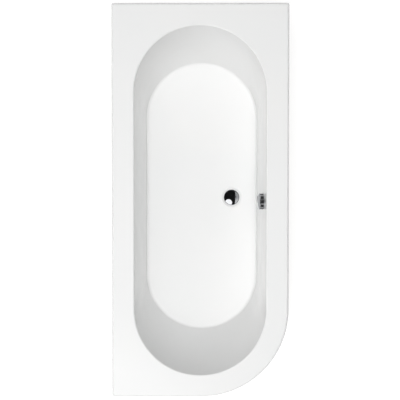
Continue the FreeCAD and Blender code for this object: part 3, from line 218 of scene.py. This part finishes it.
# Rim battens: four lengths of sawn softwood glued to the back of the rim, which stiffen it and take the
# bracket screws. The grain runs along each piece, so side and end battens have it in different directions.
GRAIN_BEND, GRAIN_STRETCH = (0.05, 0.05, 0.05), 0.04
grain, given, result = new_group(
    "Sawn grain", [("Along", "Vector", (0, 0, 0))], [("Streak", "Float"), ("Fibre", "Float")])
warp = add_node(grain, "TexNoise", {"Vector": given.outputs["Along"], "Scale": 9.0, "Detail": 2.0})
bent = add_node(grain, "VectorMath", {0: warp.outputs["Color"], 1: GRAIN_BEND}, operation="MULTIPLY")
shifted = add_node(grain, "VectorMath", {0: given.outputs["Along"], 1: bent.outputs[0]}, operation="ADD")
rings = add_node(grain, "TexNoise", {"Vector": shifted.outputs[0], "Scale": 95.0, "Detail": 4.0})
streak = add_node(grain, "MapRange", {"Value": rings.outputs["Fac"], "From Min": 0.36, "From Max": 0.66})
hair = add_node(grain, "TexNoise", {"Vector": given.outputs["Along"], "Scale": 620.0, "Detail": 2.0})
grain.links.new(streak.outputs["Result"], result.inputs["Streak"])
grain.links.new(hair.outputs["Fac"], result.inputs["Fibre"])
for name, run, battens in (
        ("softwood_side", (1, GRAIN_STRETCH, 1), ("rim_batten_left", "rim_batten_right")),
        ("softwood_end", (GRAIN_STRETCH, 1, 1), ("rim_batten_head", "rim_batten_foot"))):
    softwood, tree, shader = new_finish(name)
    edges = add_group(tree, softened, Radius=0.0015)
    place = add_node(tree, "TexCoord")
    along = add_node(tree, "VectorMath", {0: place.outputs["Object"], 1: run}, operation="MULTIPLY")
    sawn = add_group(tree, grain, Along=along.outputs[0])
    colour_between(tree, shader, sawn.outputs["Streak"], first=(0.78, 0.60, 0.37), second=(0.60, 0.40, 0.20))
    rub_edges(tree, shader, edges, (0.84, 0.68, 0.46))
    roughen(tree, shader, scale=40.0, low=0.55, high=0.8)
    emboss(tree, shader, sawn.outputs["Fibre"], depth=0.0004, normal=edges.outputs["Normal"])
    dress(softwood, *battens)

# Cradle rails: two channels folded from galvanised steel sheet, screwed up into the board across the bath,
# each carrying a foot at both ends. The zinc coat has the dull spangle of a hot dip and brighter edges.
galvanised, tree, shader = new_finish("galvanised_steel", Metallic=1.0)
edges = add_group(tree, softened, Radius=0.0008)
place = add_node(tree, "TexCoord")
crystal = add_node(tree, "TexVoronoi", {"Vector": place.outputs["Object"], "Scale": 165.0})
crystal_tone = add_node(tree, "SeparateColor", {"Color": crystal.outputs["Color"]})
colour_between(tree, shader, crystal_tone.outputs[0], first=(0.46, 0.48, 0.50), second=(0.68, 0.69, 0.70))
rub_edges(tree, shader, edges, (0.78, 0.79, 0.80))
dull = add_node(tree, "MapRange", {"Value": crystal_tone.outputs[1], "To Min": 0.3, "To Max": 0.5})
tree.links.new(dull.outputs["Result"], shader.inputs["Roughness"])
drag = add_group(tree, mottle, Scale=300.0, Detail=3.0)
emboss(tree, shader, drag.outputs["Mask"], depth=0.00006, normal=edges.outputs["Normal"])
dress(galvanised, "cradle_rail_head", "cradle_rail_foot")

# Cradle screws: zinc-plated pan-head wood screws with a cross recess, driven up through the rails into the
# board. The bracket screws are the same, driven up through the brackets into the battens.
WELD_DISTANCE, ORDER_DECIMALS = 1e-6, 4
# Shares of the pitch at which the thread's root and the two edges of its crest lie, and of its run-out.
THREAD_SHARES, THREAD_RUN_OUT = (0, 0.44, 0.56), 0.5
SHARP_ANGLE = math.radians(32)


def solids_of(node):
    """The lowest and highest corner of each separate solid in a CAD node."""
    form = bmesh.new()
    form.from_mesh(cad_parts[node].data)
    bmesh.ops.remove_doubles(form, verts=form.verts, dist=WELD_DISTANCE)
    left, boxes = set(form.verts), []
    while left:
        solid, front = set(), [left.pop()]
        while front:
            vert = front.pop()
            solid.add(vert)
            near = {edge.other_vert(vert) for edge in vert.link_edges} & left
            left -= near
            front += near
        spans = [[vert.co[axis] for vert in solid] for axis in range(3)]
        boxes.append((Vector(map(min, spans)), Vector(map(max, spans))))
    form.free()
    return sorted(boxes, key=lambda box: tuple(round(value, ORDER_DECIMALS) for value in box[0]))


def on_circle(radius, turn, height, middle=(0, 0)):
    """A point at a turn about an upright axis."""
    return middle[0] + radius * math.cos(turn), middle[1] + radius * math.sin(turn), height


def join_rings(form, rings):
    """Faces between each ring of corners and the next; a ring of one corner closes to a point."""
    for lower, upper in zip(rings, rings[1:]):
        sides = max(len(lower), len(upper))
        for side in range(sides):
            after = (side + 1) % sides
            corners = [lower[side % len(lower)], lower[after % len(lower)],
                       upper[after % len(upper)], upper[side % len(upper)]]
            form.faces.new(list(dict.fromkeys(corners)))


def add_turned(form, profile, sides=40):
    """A closed form turned about Z from (radius, height) points, the first and last of them on the axis."""
    rings = []
    for radius, height in profile:
        turns = [math.tau * side / sides for side in range(sides if radius else 1)]
        rings.append([form.verts.new(on_circle(radius, turn, height)) for turn in turns])
    join_rings(form, rings)


def add_thread(form, root, crest, pitch, low, high, sides=20):
    """A bar with a cut thread that climbs one pitch in each turn and runs out to the root at both ends."""
    steps = round((high - low) / pitch - 1) * sides
    rows = []
    for step in range(steps + sides + 1):
        turn, start = math.tau * step / sides, low + pitch * step / sides
        row = []
        for share in THREAD_SHARES:
            height = start + share * pitch
            from_end = min(height - low, high - height) / pitch
            rise = max(0, min(1, from_end - THREAD_RUN_OUT)) if share else 0
            radius = root + rise * (crest - root)
            row.append(form.verts.new(on_circle(radius, turn, min(height, high))))
        rows.append(row)
    for step in range(steps):
        now, after = rows[step], rows[step + 1]
        above, above_after = rows[step + sides], rows[step + sides + 1]
        for first, second in ((0, 1), (1, 2)):
            form.faces.new((now[first], after[first], after[second], now[second]))
        form.faces.new((now[2], after[2], above_after[0], above[0]))
    for end, first, height in ((rows[0], 0, low), (rows[steps], steps, high)):
        middle = form.verts.new((0, 0, height))
        loop = [rows[first + side][0] for side in range(sides + 1)] + [end[2], end[1]]
        for corner, after in zip(loop, loop[1:] + loop[:1]):
            form.faces.new((middle, corner, after))
    for step in range(steps + 1, len(rows)):
        for vert in rows[step][1:]:
            form.verts.remove(vert)


def add_piece(name, form, finish, body, nodes=()):
    """A closed form as an object that rides on a body and stands for CAD nodes, where there are any."""
    bmesh.ops.recalc_face_normals(form, faces=form.faces)
    mesh = bpy.data.meshes.new(name)
    form.to_mesh(mesh)
    form.free()
    mesh.shade_smooth()
    mesh.set_sharp_from_angle(angle=SHARP_ANGLE)
    mesh.materials.append(finish)
    piece = bpy.data.objects.new(name, mesh)
    bpy.context.scene.collection.objects.link(piece)
    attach(piece, body)
    if nodes:
        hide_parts(*nodes)


zinc = cloudy_finish(
    "zinc_plated_steel", first=(0.60, 0.61, 0.60), second=(0.71, 0.71, 0.68),
    tone=dict(scale=55.0, detail=3.0), gloss=dict(scale=160.0, low=0.22, high=0.38),
    skin=dict(scale=900.0, detail=2.0, depth=0.00002), edge_radius=0.0003, rubbed=(0.78, 0.78, 0.76),
    Metallic=1.0)

HEAD_RADIUS, HEAD_HEIGHT, HEAD_SKIRT, DOME_STEPS = 0.0045, 0.0025, 0.35, 8
SCREW_ROOT, SCREW_CREST, SCREW_PITCH, SHANK_LENGTH = 0.0015, 0.0022, 0.0018, 0.014
SCREW_SIDES, DRIVEN_TURN = 14, 0.7
# Height, arm and half-width of the cross recess, from its bottom to above the head.
RECESS_STEPS = ((0.0007, 0.0005, 0.0003), (0.0017, 0.0017, 0.0004), (0.0038, 0.0026, 0.0006))
screw_head = bmesh.new()
dome = []
for step in range(DOME_STEPS):
    turn = math.pi / 2 * step / DOME_STEPS
    dome_height = HEAD_HEIGHT * (HEAD_SKIRT + (1 - HEAD_SKIRT) * math.sin(turn))
    dome.append((HEAD_RADIUS * math.cos(turn), dome_height))
add_turned(screw_head, [(0, 0), (HEAD_RADIUS, 0), *dome, (0, HEAD_HEIGHT)])
driver_bit = bmesh.new()
cross_rings = []
for height, arm, half_width in RECESS_STEPS:
    quarter = [(arm, -half_width), (arm, half_width), (half_width, half_width)]
    cross = []
    for _ in range(4):
        cross += quarter
        quarter = [(-y, x) for x, y in quarter]
    cross_rings.append([driver_bit.verts.new((x, y, height)) for x, y in cross])
join_rings(driver_bit, cross_rings)
driver_bit.faces.new(cross_rings[0])
driver_bit.faces.new(cross_rings[-1])
blanks = []
for form in (screw_head, driver_bit):
    bmesh.ops.recalc_face_normals(form, faces=form.faces)
    mesh = bpy.data.meshes.new("screw_blank")
    form.to_mesh(mesh)
    form.free()
    blanks.append(bpy.data.objects.new("screw_blank", mesh))
    bpy.context.scene.collection.objects.link(blanks[-1])
recess = blanks[0].modifiers.new("cross_recess", "BOOLEAN")
recess.object = blanks[1]
recess.solver = "EXACT"
finished = blanks[0].evaluated_get(bpy.context.evaluated_depsgraph_get())
recessed_head = bpy.data.meshes.new_from_object(finished)
for blank in blanks:
    bpy.data.objects.remove(blank)

screw_blank = bmesh.new()
screw_blank.from_mesh(recessed_head)
add_thread(screw_blank, SCREW_ROOT, SCREW_CREST, SCREW_PITCH, -SHANK_LENGTH, 0, SCREW_SIDES)
screw = bpy.data.meshes.new("wood_screw")
screw_blank.to_mesh(screw)
screw_blank.free()
for node, name in (("cradle_screws", "cradle_screw_set"), ("bracket_screws", "bracket_screw_set")):
    screws = bmesh.new()
    for count, (low, high) in enumerate(solids_of(node)):
        before = set(screws.verts)
        screws.from_mesh(screw)
        driven = Matrix.Translation(((low.x + high.x) / 2, (low.y + high.y) / 2, low.z + HEAD_HEIGHT))
        driven = driven @ Matrix.Rotation(math.pi, 4, "X") @ Matrix.Rotation(DRIVEN_TURN * count, 4, "Z")
        added = [vert for vert in screws.verts if vert not in before]
        bmesh.ops.transform(screws, matrix=driven, verts=added)
    add_piece(name, screws, zinc, "bath", [node])


# Rail nuts and lock nuts: zinc-plated M10 hexagon nuts, a full one on each rail and a thin one under it, run
# together on the rod. Both faces are turned off at the corners, which leaves curved edges on the flats.
CHAMFER_SHARE, CHAMFER_SLOPE, COUNTERSINK = 0.485, math.tan(math.radians(30)), 0.0006


def add_hexagon(form, middle, across, low, high, bore=0, sides=72):
    """A hexagon with its corners turned off at both faces, and a countersunk bore where one is given."""
    chamfer = CHAMFER_SHARE * across
    turns = [math.tau * side / sides for side in range(sides)]
    rings = [[], [], [], []]
    for turn in turns:
        reach = across / 2 / math.cos(turn % (math.pi / 3) - math.pi / 6)
        fall = (reach - chamfer) * CHAMFER_SLOPE
        corners = ((chamfer, low), (reach, low + fall), (reach, high - fall), (chamfer, high))
        for ring, (radius, height) in zip(rings, corners):
            ring.append(form.verts.new(on_circle(radius, turn, height, middle)))
    if not bore:
        join_rings(form, rings)
        form.faces.new(rings[0])
        form.faces.new(rings[3])
        return
    mouth = bore + COUNTERSINK
    inner = ((mouth, high), (bore, high - COUNTERSINK), (bore, low + COUNTERSINK), (mouth, low))
    for radius, height in inner:
        rings.append([form.verts.new(on_circle(radius, turn, height, middle)) for turn in turns])
    join_rings(form, rings + rings[:1])


ROD_BORE = 0.00506
for node, name in (("rail_nuts", "rail_nut_set"), ("lock_nuts", "lock_nut_set")):
    nuts = bmesh.new()
    for low, high in solids_of(node):
        middle = (low + high) / 2
        add_hexagon(nuts, middle, min(high.x - low.x, high.y - low.y), low.z, high.z, ROD_BORE)
    add_piece(name, nuts, zinc, "bath", [node])

# Levelling feet: a zinc-plated M10 threaded rod with a spanner hexagon, pressed into a moulded black shoe,
# with a ribbed rubber sole under it. Turning the rod in its nuts raises or lowers that corner of the bath.
black_plastic = cloudy_finish(
    "black_moulded_plastic", first=(0.018, 0.018, 0.019), second=(0.034, 0.034, 0.036),
    tone=dict(scale=40.0, detail=3.0), gloss=dict(scale=120.0, low=0.34, high=0.5),
    skin=dict(scale=1500.0, detail=2.0, depth=0.00005), edge_radius=0.0012, rubbed=(0.085, 0.085, 0.09),
    Specular_IOR_Level=0.45)
rubber = cloudy_finish(
    "matt_rubber", first=(0.022, 0.022, 0.022), second=(0.05, 0.05, 0.049),
    tone=dict(scale=70.0, detail=4.0), gloss=dict(scale=200.0, low=0.62, high=0.82),
    skin=dict(scale=1100.0, detail=3.0, depth=0.00006), edge_radius=0.0006, Specular_IOR_Level=0.35)

ROD_ROOT, ROD_CREST, ROD_PITCH = 0.0042, 0.005, 0.0015
ADJUSTER_ACROSS, ADJUSTER_HEIGHT = 0.013, 0.008
GROOVES, GROOVE_WIDTH, GROOVE_DEPTH, GROOVE_DRAFT = (0.0075, 0.0135, 0.0195), 0.0022, 0.0013, 0.0003
SOLE_ROUND, SOLE_ROUND_CUT, SOLE_SIDES = 0.0008, 0.0002, 56
for corner in ("left_foot", "left_head", "right_foot", "right_head"):
    low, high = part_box(f"foot_rod_{corner}")
    shoe_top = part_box(f"foot_shoe_{corner}")[1][2]
    rod = bmesh.new()
    add_turned(rod, [(0, low[2]), (ROD_CREST, low[2]), (ROD_CREST, shoe_top), (0, shoe_top)])
    add_hexagon(rod, (0, 0), ADJUSTER_ACROSS, shoe_top, shoe_top + ADJUSTER_HEIGHT)
    add_thread(rod, ROD_ROOT, ROD_CREST, ROD_PITCH, shoe_top + ADJUSTER_HEIGHT, high[2])
    middle = ((low[0] + high[0]) / 2, (low[1] + high[1]) / 2, 0)
    bmesh.ops.translate(rod, vec=middle, verts=rod.verts)
    add_piece(f"threaded_rod_{corner}", rod, zinc, f"foot_{corner}", [f"foot_rod_{corner}"])
    low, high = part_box(f"foot_sole_{corner}")
    reach, under, top = (high[0] - low[0]) / 2, low[2], high[2]
    ribs = [(0, under)]
    for groove in GROOVES:
        far = groove + GROOVE_WIDTH
        ribs += [(groove, under), (groove + GROOVE_DRAFT, under + GROOVE_DEPTH),
                 (far - GROOVE_DRAFT, under + GROOVE_DEPTH), (far, under)]
    rim = [(reach - SOLE_ROUND, under), (reach - SOLE_ROUND_CUT, under + SOLE_ROUND_CUT),
           (reach, under + SOLE_ROUND), (reach, top), (0, top)]
    sole = bmesh.new()
    add_turned(sole, ribs + rim, SOLE_SIDES)
    bmesh.ops.translate(sole, vec=middle, verts=sole.verts)
    add_piece(f"ribbed_sole_{corner}", sole, rubber, f"foot_{corner}", [f"foot_sole_{corner}"])
    dress(black_plastic, f"foot_shoe_{corner}")

# Wall brackets: strips of galvanised steel, bent twice and pierced, screwed under the battens on the two
# sides that stand against walls, so that the plates below the lip can be fixed to the wall.
dress(galvanised, "wall_bracket_left_head", "wall_bracket_left_foot", "wall_bracket_head")

# Waste: a chromed brass flange with a rubber gasket, screwed down through the basin's floor into a white
# moulded body, with a soft washer between. The body has a bush for the plug's stem and a branch for the pipe.
chrome = cloudy_finish(
    "polished_chrome", first=(0.56, 0.57, 0.59), second=(0.61, 0.62, 0.635),
    tone=dict(scale=30.0, detail=3.0), gloss=dict(scale=85.0, low=0.03, high=0.085),
    skin=dict(scale=24.0, detail=1.0, depth=0.00001), Metallic=1.0)
white_plastic = cloudy_finish(
    "white_moulded_plastic", first=(0.77, 0.77, 0.755), second=(0.83, 0.83, 0.82),
    tone=dict(scale=30.0, detail=3.0), gloss=dict(scale=90.0, low=0.27, high=0.42),
    skin=dict(scale=700.0, detail=2.0, depth=0.00004), edge_radius=0.0012, Specular_IOR_Level=0.45)
dress(chrome, "waste_flange")
dress(white_plastic, "waste_body")
dress(rubber, "waste_top_gasket", "waste_bottom_washer")

# Pop-up plug: a domed chromed cap with a rubber ring under it, on a steel stem that slides in the waste's
# bush. A grey moulded lever on a steel pin in the waste's branch pushes the stem up.
grey_plastic = cloudy_finish(
    "grey_moulded_plastic", first=(0.37, 0.38, 0.39), second=(0.45, 0.46, 0.47),
    tone=dict(scale=60.0, detail=3.0), gloss=dict(scale=120.0, low=0.34, high=0.5),
    skin=dict(scale=900.0, detail=2.0, depth=0.00004), edge_radius=0.0008, Specular_IOR_Level=0.45)
dress(chrome, "plug_cap")
dress(rubber, "plug_seal")
dress(zinc, "plug_stem", "lever_pin")
dress(grey_plastic, "lift_lever")

# Overflow: a slotted flange on the basin's side wall, moulded in black plastic and satin chromed outside,
# screwed through a soft seal into a white moulded bowl behind the wall. The polished knob turns a spindle and
# a grey cable drum in the bowl, which work the plug.
SLOT_RING_INSIDE, PLATING_FADE = 0.0326, 0.0003
spindle_middle = sum(map(Vector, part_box("knob_spindle")), Vector()) / 2
drum_middle = sum(map(Vector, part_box("cable_drum")), Vector()) / 2
outwards = (spindle_middle - drum_middle).normalized()
plated, tree, shader = new_finish("chrome_on_black_plastic")
place = add_node(tree, "TexCoord")
offset = add_node(tree, "VectorMath", {0: place.outputs["Object"], 1: spindle_middle}, operation="SUBTRACT")
across = add_node(tree, "VectorMath", {0: offset.outputs[0], 1: outwards}, operation="CROSS_PRODUCT")
from_axis = add_node(tree, "VectorMath", {0: across.outputs[0]}, operation="LENGTH")
plating = add_node(tree, "MapRange", {"Value": from_axis.outputs["Value"], "From Min": SLOT_RING_INSIDE,
                                      "From Max": SLOT_RING_INSIDE + PLATING_FADE})
tree.links.new(plating.outputs["Result"], shader.inputs["Metallic"])
film = add_group(tree, mottle, Scale=30.0, Detail=3.0, Low=0.92, High=1.0)
tone = add_node(tree, "Math", {0: plating.outputs["Result"], 1: film.outputs["Value"]}, operation="MULTIPLY")
colour_between(tree, shader, tone.outputs[0], first=(0.018, 0.018, 0.019), second=(0.61, 0.62, 0.635))
satin = add_group(tree, mottle, Scale=85.0, Detail=4.0, Low=0.26, High=0.34)
gloss = add_node(tree, "MapRange", {"Value": plating.outputs["Result"], "To Min": 0.5,
                                    "To Max": satin.outputs["Value"]})
tree.links.new(gloss.outputs["Result"], shader.inputs["Roughness"])
polish = add_group(tree, mottle, Scale=24.0, Detail=1.0)
emboss(tree, shader, polish.outputs["Mask"], depth=0.00001)
dress(plated, "overflow_flange")
dress(chrome, "overflow_knob")
dress(rubber, "overflow_seal")
dress(white_plastic, "overflow_body")
dress(zinc, "knob_spindle")
dress(grey_plastic, "cable_drum")

# Overflow strainer: a moulded black sleeve with narrow windows, pressed on to the flange's face inside the
# slotted ring, which keeps hair out of the pipe. Its black is also painted shade: it stands for the shade
# inside the overflow, which shows dark behind the ring's slots. Its wall is made with the corners and faces
# in no fixed order, so both are then sorted.
STRAINER_RADIUS, STRAINER_WALL, STRAINER_RIM = 0.0285, 0.0015, 0.0025
STRAINER_LENGTH, STRAINER_GAP = 0.0146, 0.0004
STRAINER_BARS, BAR_COLUMNS, WINDOW_COLUMNS = 33, 3, 1
pitch = BAR_COLUMNS + WINDOW_COLUMNS
columns = STRAINER_BARS * pitch
strainer_shade = bmesh.new()
rings = []
for height in (0, STRAINER_RIM, STRAINER_LENGTH - STRAINER_RIM, STRAINER_LENGTH):
    ring = []
    for column in range(columns):
        turn = math.tau * column / columns
        ring.append(strainer_shade.verts.new(on_circle(STRAINER_RADIUS, turn, height)))
    rings.append(ring)
join_rings(strainer_shade, rings)
middle_row = list(strainer_shade.faces)[columns:2 * columns]
windows = [face for column, face in enumerate(middle_row) if column % pitch < WINDOW_COLUMNS]
bmesh.ops.delete(strainer_shade, geom=windows, context="FACES")
bmesh.ops.solidify(strainer_shade, geom=strainer_shade.faces, thickness=STRAINER_WALL)
ordered = sorted(strainer_shade.verts, key=lambda vert: tuple(vert.co))
rank = {vert: count for count, vert in enumerate(ordered)}
strainer_shade.verts.sort(key=rank.get)
ordered = sorted(strainer_shade.faces, key=lambda face: sorted(rank[vert] for vert in face.verts))
rank = {face: count for count, face in enumerate(ordered)}
strainer_shade.faces.sort(key=rank.get)
flange_corners = [vert.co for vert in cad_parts["overflow_flange"].data.vertices]
ring_front = max(outwards.dot(corner - spindle_middle) for corner in flange_corners)
seat = spindle_middle + outwards * (ring_front - STRAINER_GAP - STRAINER_LENGTH)
seated = Matrix.Translation(seat) @ outwards.to_track_quat("Z", "Y").to_matrix().to_4x4()
bmesh.ops.transform(strainer_shade, matrix=seated, verts=strainer_shade.verts)
# The sleeve's black finish is painted shade, seen through the ring's slots.
add_piece("overflow_strainer_painted_shade", strainer_shade, black_plastic, "bath")

# Overflow pipe: a bent white plastic tube from the bowl down to the waste's branch, held at both ends by a
# ribbed nut that squeezes a rubber ring.
dress(white_plastic, "overflow_pipe", "pipe_nut_lower", "pipe_nut_upper")
dress(rubber, "pipe_seal_lower", "pipe_seal_upper")

# Trap: a white moulded U-bend under the waste, with a cleaning eye and its cap at the bottom, and a nut and
# rubber ring at each end, one on the waste and one for the drain pipe.
dress(white_plastic, "trap_inlet_nut", "trap_bend", "eye_cap", "trap_outlet_nut")
dress(rubber, "trap_inlet_seal", "eye_seal", "trap_outlet_seal")

# Studio: a plain white floor that keeps the bath's shadow, a white surround and soft lamps. A dark ceiling
# that only reflections see stands for the unlit room above, so that the chrome shows dark and bright patches.
def seen_directly(tree):
    """A mask of the rays that reach the camera straight or by way of metal or glass."""
    path = add_node(tree, "LightPath")
    mirrored = add_node(tree, "Math", {0: path.outputs["Is Camera Ray"], 1: path.outputs["Is Glossy Ray"]},
                        operation="MAXIMUM")
    every = add_node(tree, "Math", {0: mirrored.outputs[0], 1: path.outputs["Is Transmission Ray"]},
                     operation="MAXIMUM")
    return every.outputs[0]


FLOOR_SIZE, FLOOR_GLOW, FLOOR_SEEN, FLOOR_BOUNCE = 60, 0.78, 0.42, 0.7
bpy.ops.mesh.primitive_plane_add(size=FLOOR_SIZE)
floor = bpy.context.object
floor.name = "studio_floor"
floor_paint = bpy.data.materials.new("floor_paint")
floor_paint.use_nodes = True
tree = floor_paint.node_tree
tree.nodes.clear()
direct = seen_directly(tree)
glow = add_node(tree, "Math", {0: direct, 1: FLOOR_GLOW}, operation="MULTIPLY")
white = add_node(tree, "Emission", {"Strength": glow.outputs[0]})
bounce = add_node(tree, "MapRange", {"Value": direct, "To Min": FLOOR_BOUNCE, "To Max": FLOOR_SEEN})
matt = add_node(tree, "BsdfDiffuse", {"Color": bounce.outputs[0]})
both = add_node(tree, "AddShader", {0: white.outputs[0], 1: matt.outputs[0]})
add_node(tree, "OutputMaterial", {"Surface": both.outputs[0]})
floor.data.materials.append(floor_paint)

CEILING_SIZE, CEILING_HEIGHT = 15, 9.0
bpy.ops.mesh.primitive_plane_add(size=CEILING_SIZE, location=(0, 0, CEILING_HEIGHT))
ceiling = bpy.context.object
ceiling.name = "dark_ceiling"
ceiling_paint = new_finish("ceiling_paint", Base_Color=(0.02, 0.02, 0.02, 1), Roughness=1.0)[0]
ceiling.data.materials.append(ceiling_paint)
for kind in ("camera", "diffuse", "transmission", "shadow"):
    setattr(ceiling, f"visible_{kind}", False)

SURROUND_LIGHT, SURROUND_WHITE = 0.1, 1.0
scene = bpy.context.scene
scene.world = bpy.data.worlds.new("studio")
scene.world.use_nodes = True
tree = scene.world.node_tree
tree.nodes.clear()
level = add_node(tree, "MapRange", {"Value": seen_directly(tree), "To Min": SURROUND_LIGHT,
                                    "To Max": SURROUND_WHITE})
sky = add_node(tree, "Background", {"Strength": level.outputs[0]})
add_node(tree, "OutputWorld", {"Surface": sky.outputs[0]})

LIT_POINT = Vector((0, 0, 0.4))
for name, spot, (wide, deep), power, mirrored in (
        ("overhead_softbox", (0, -0.15, 7.5), (3.0, 7.0), 418, False),
        ("key_softbox", (-1.2, -2.6, 4.8), (3.3, 3.3), 42, True),
        ("left_softbox", (-5, -1.5, 4.0), (3.0, 3.0), 78, False)):
    light = bpy.data.lights.new(name, "AREA")
    light.shape = "ELLIPSE"
    light.size = wide
    light.size_y = deep
    light.energy = power
    lamp = bpy.data.objects.new(name, light)
    scene.collection.objects.link(lamp)
    lamp.location = spot
    lamp.rotation_euler = (LIT_POINT - lamp.location).to_track_quat("-Z", "Y").to_euler()
    lamp.visible_glossy = mirrored

# Camera: high above the bath, almost over its middle, with the bath's length upright in the frame.
view_from, view_at = Vector((0.15, 0.5, 9.6)), Vector((-0.0007, 0.0046, 0.6))
forward = (view_at - view_from).normalized()
right = forward.cross(Vector((0, 1, 0))).normalized()
turn = Matrix((right, right.cross(forward), -forward)).transposed().to_4x4()
lens = bpy.data.cameras.new("camera")
lens.lens = 179.9
lens.sensor_width = 36
lens.clip_end = 100
camera = bpy.data.objects.new("camera", lens)
scene.collection.objects.link(camera)
camera.matrix_world = Matrix.Translation(view_from) @ turn
scene.camera = camera
scene.view_settings.view_transform = "Standard"
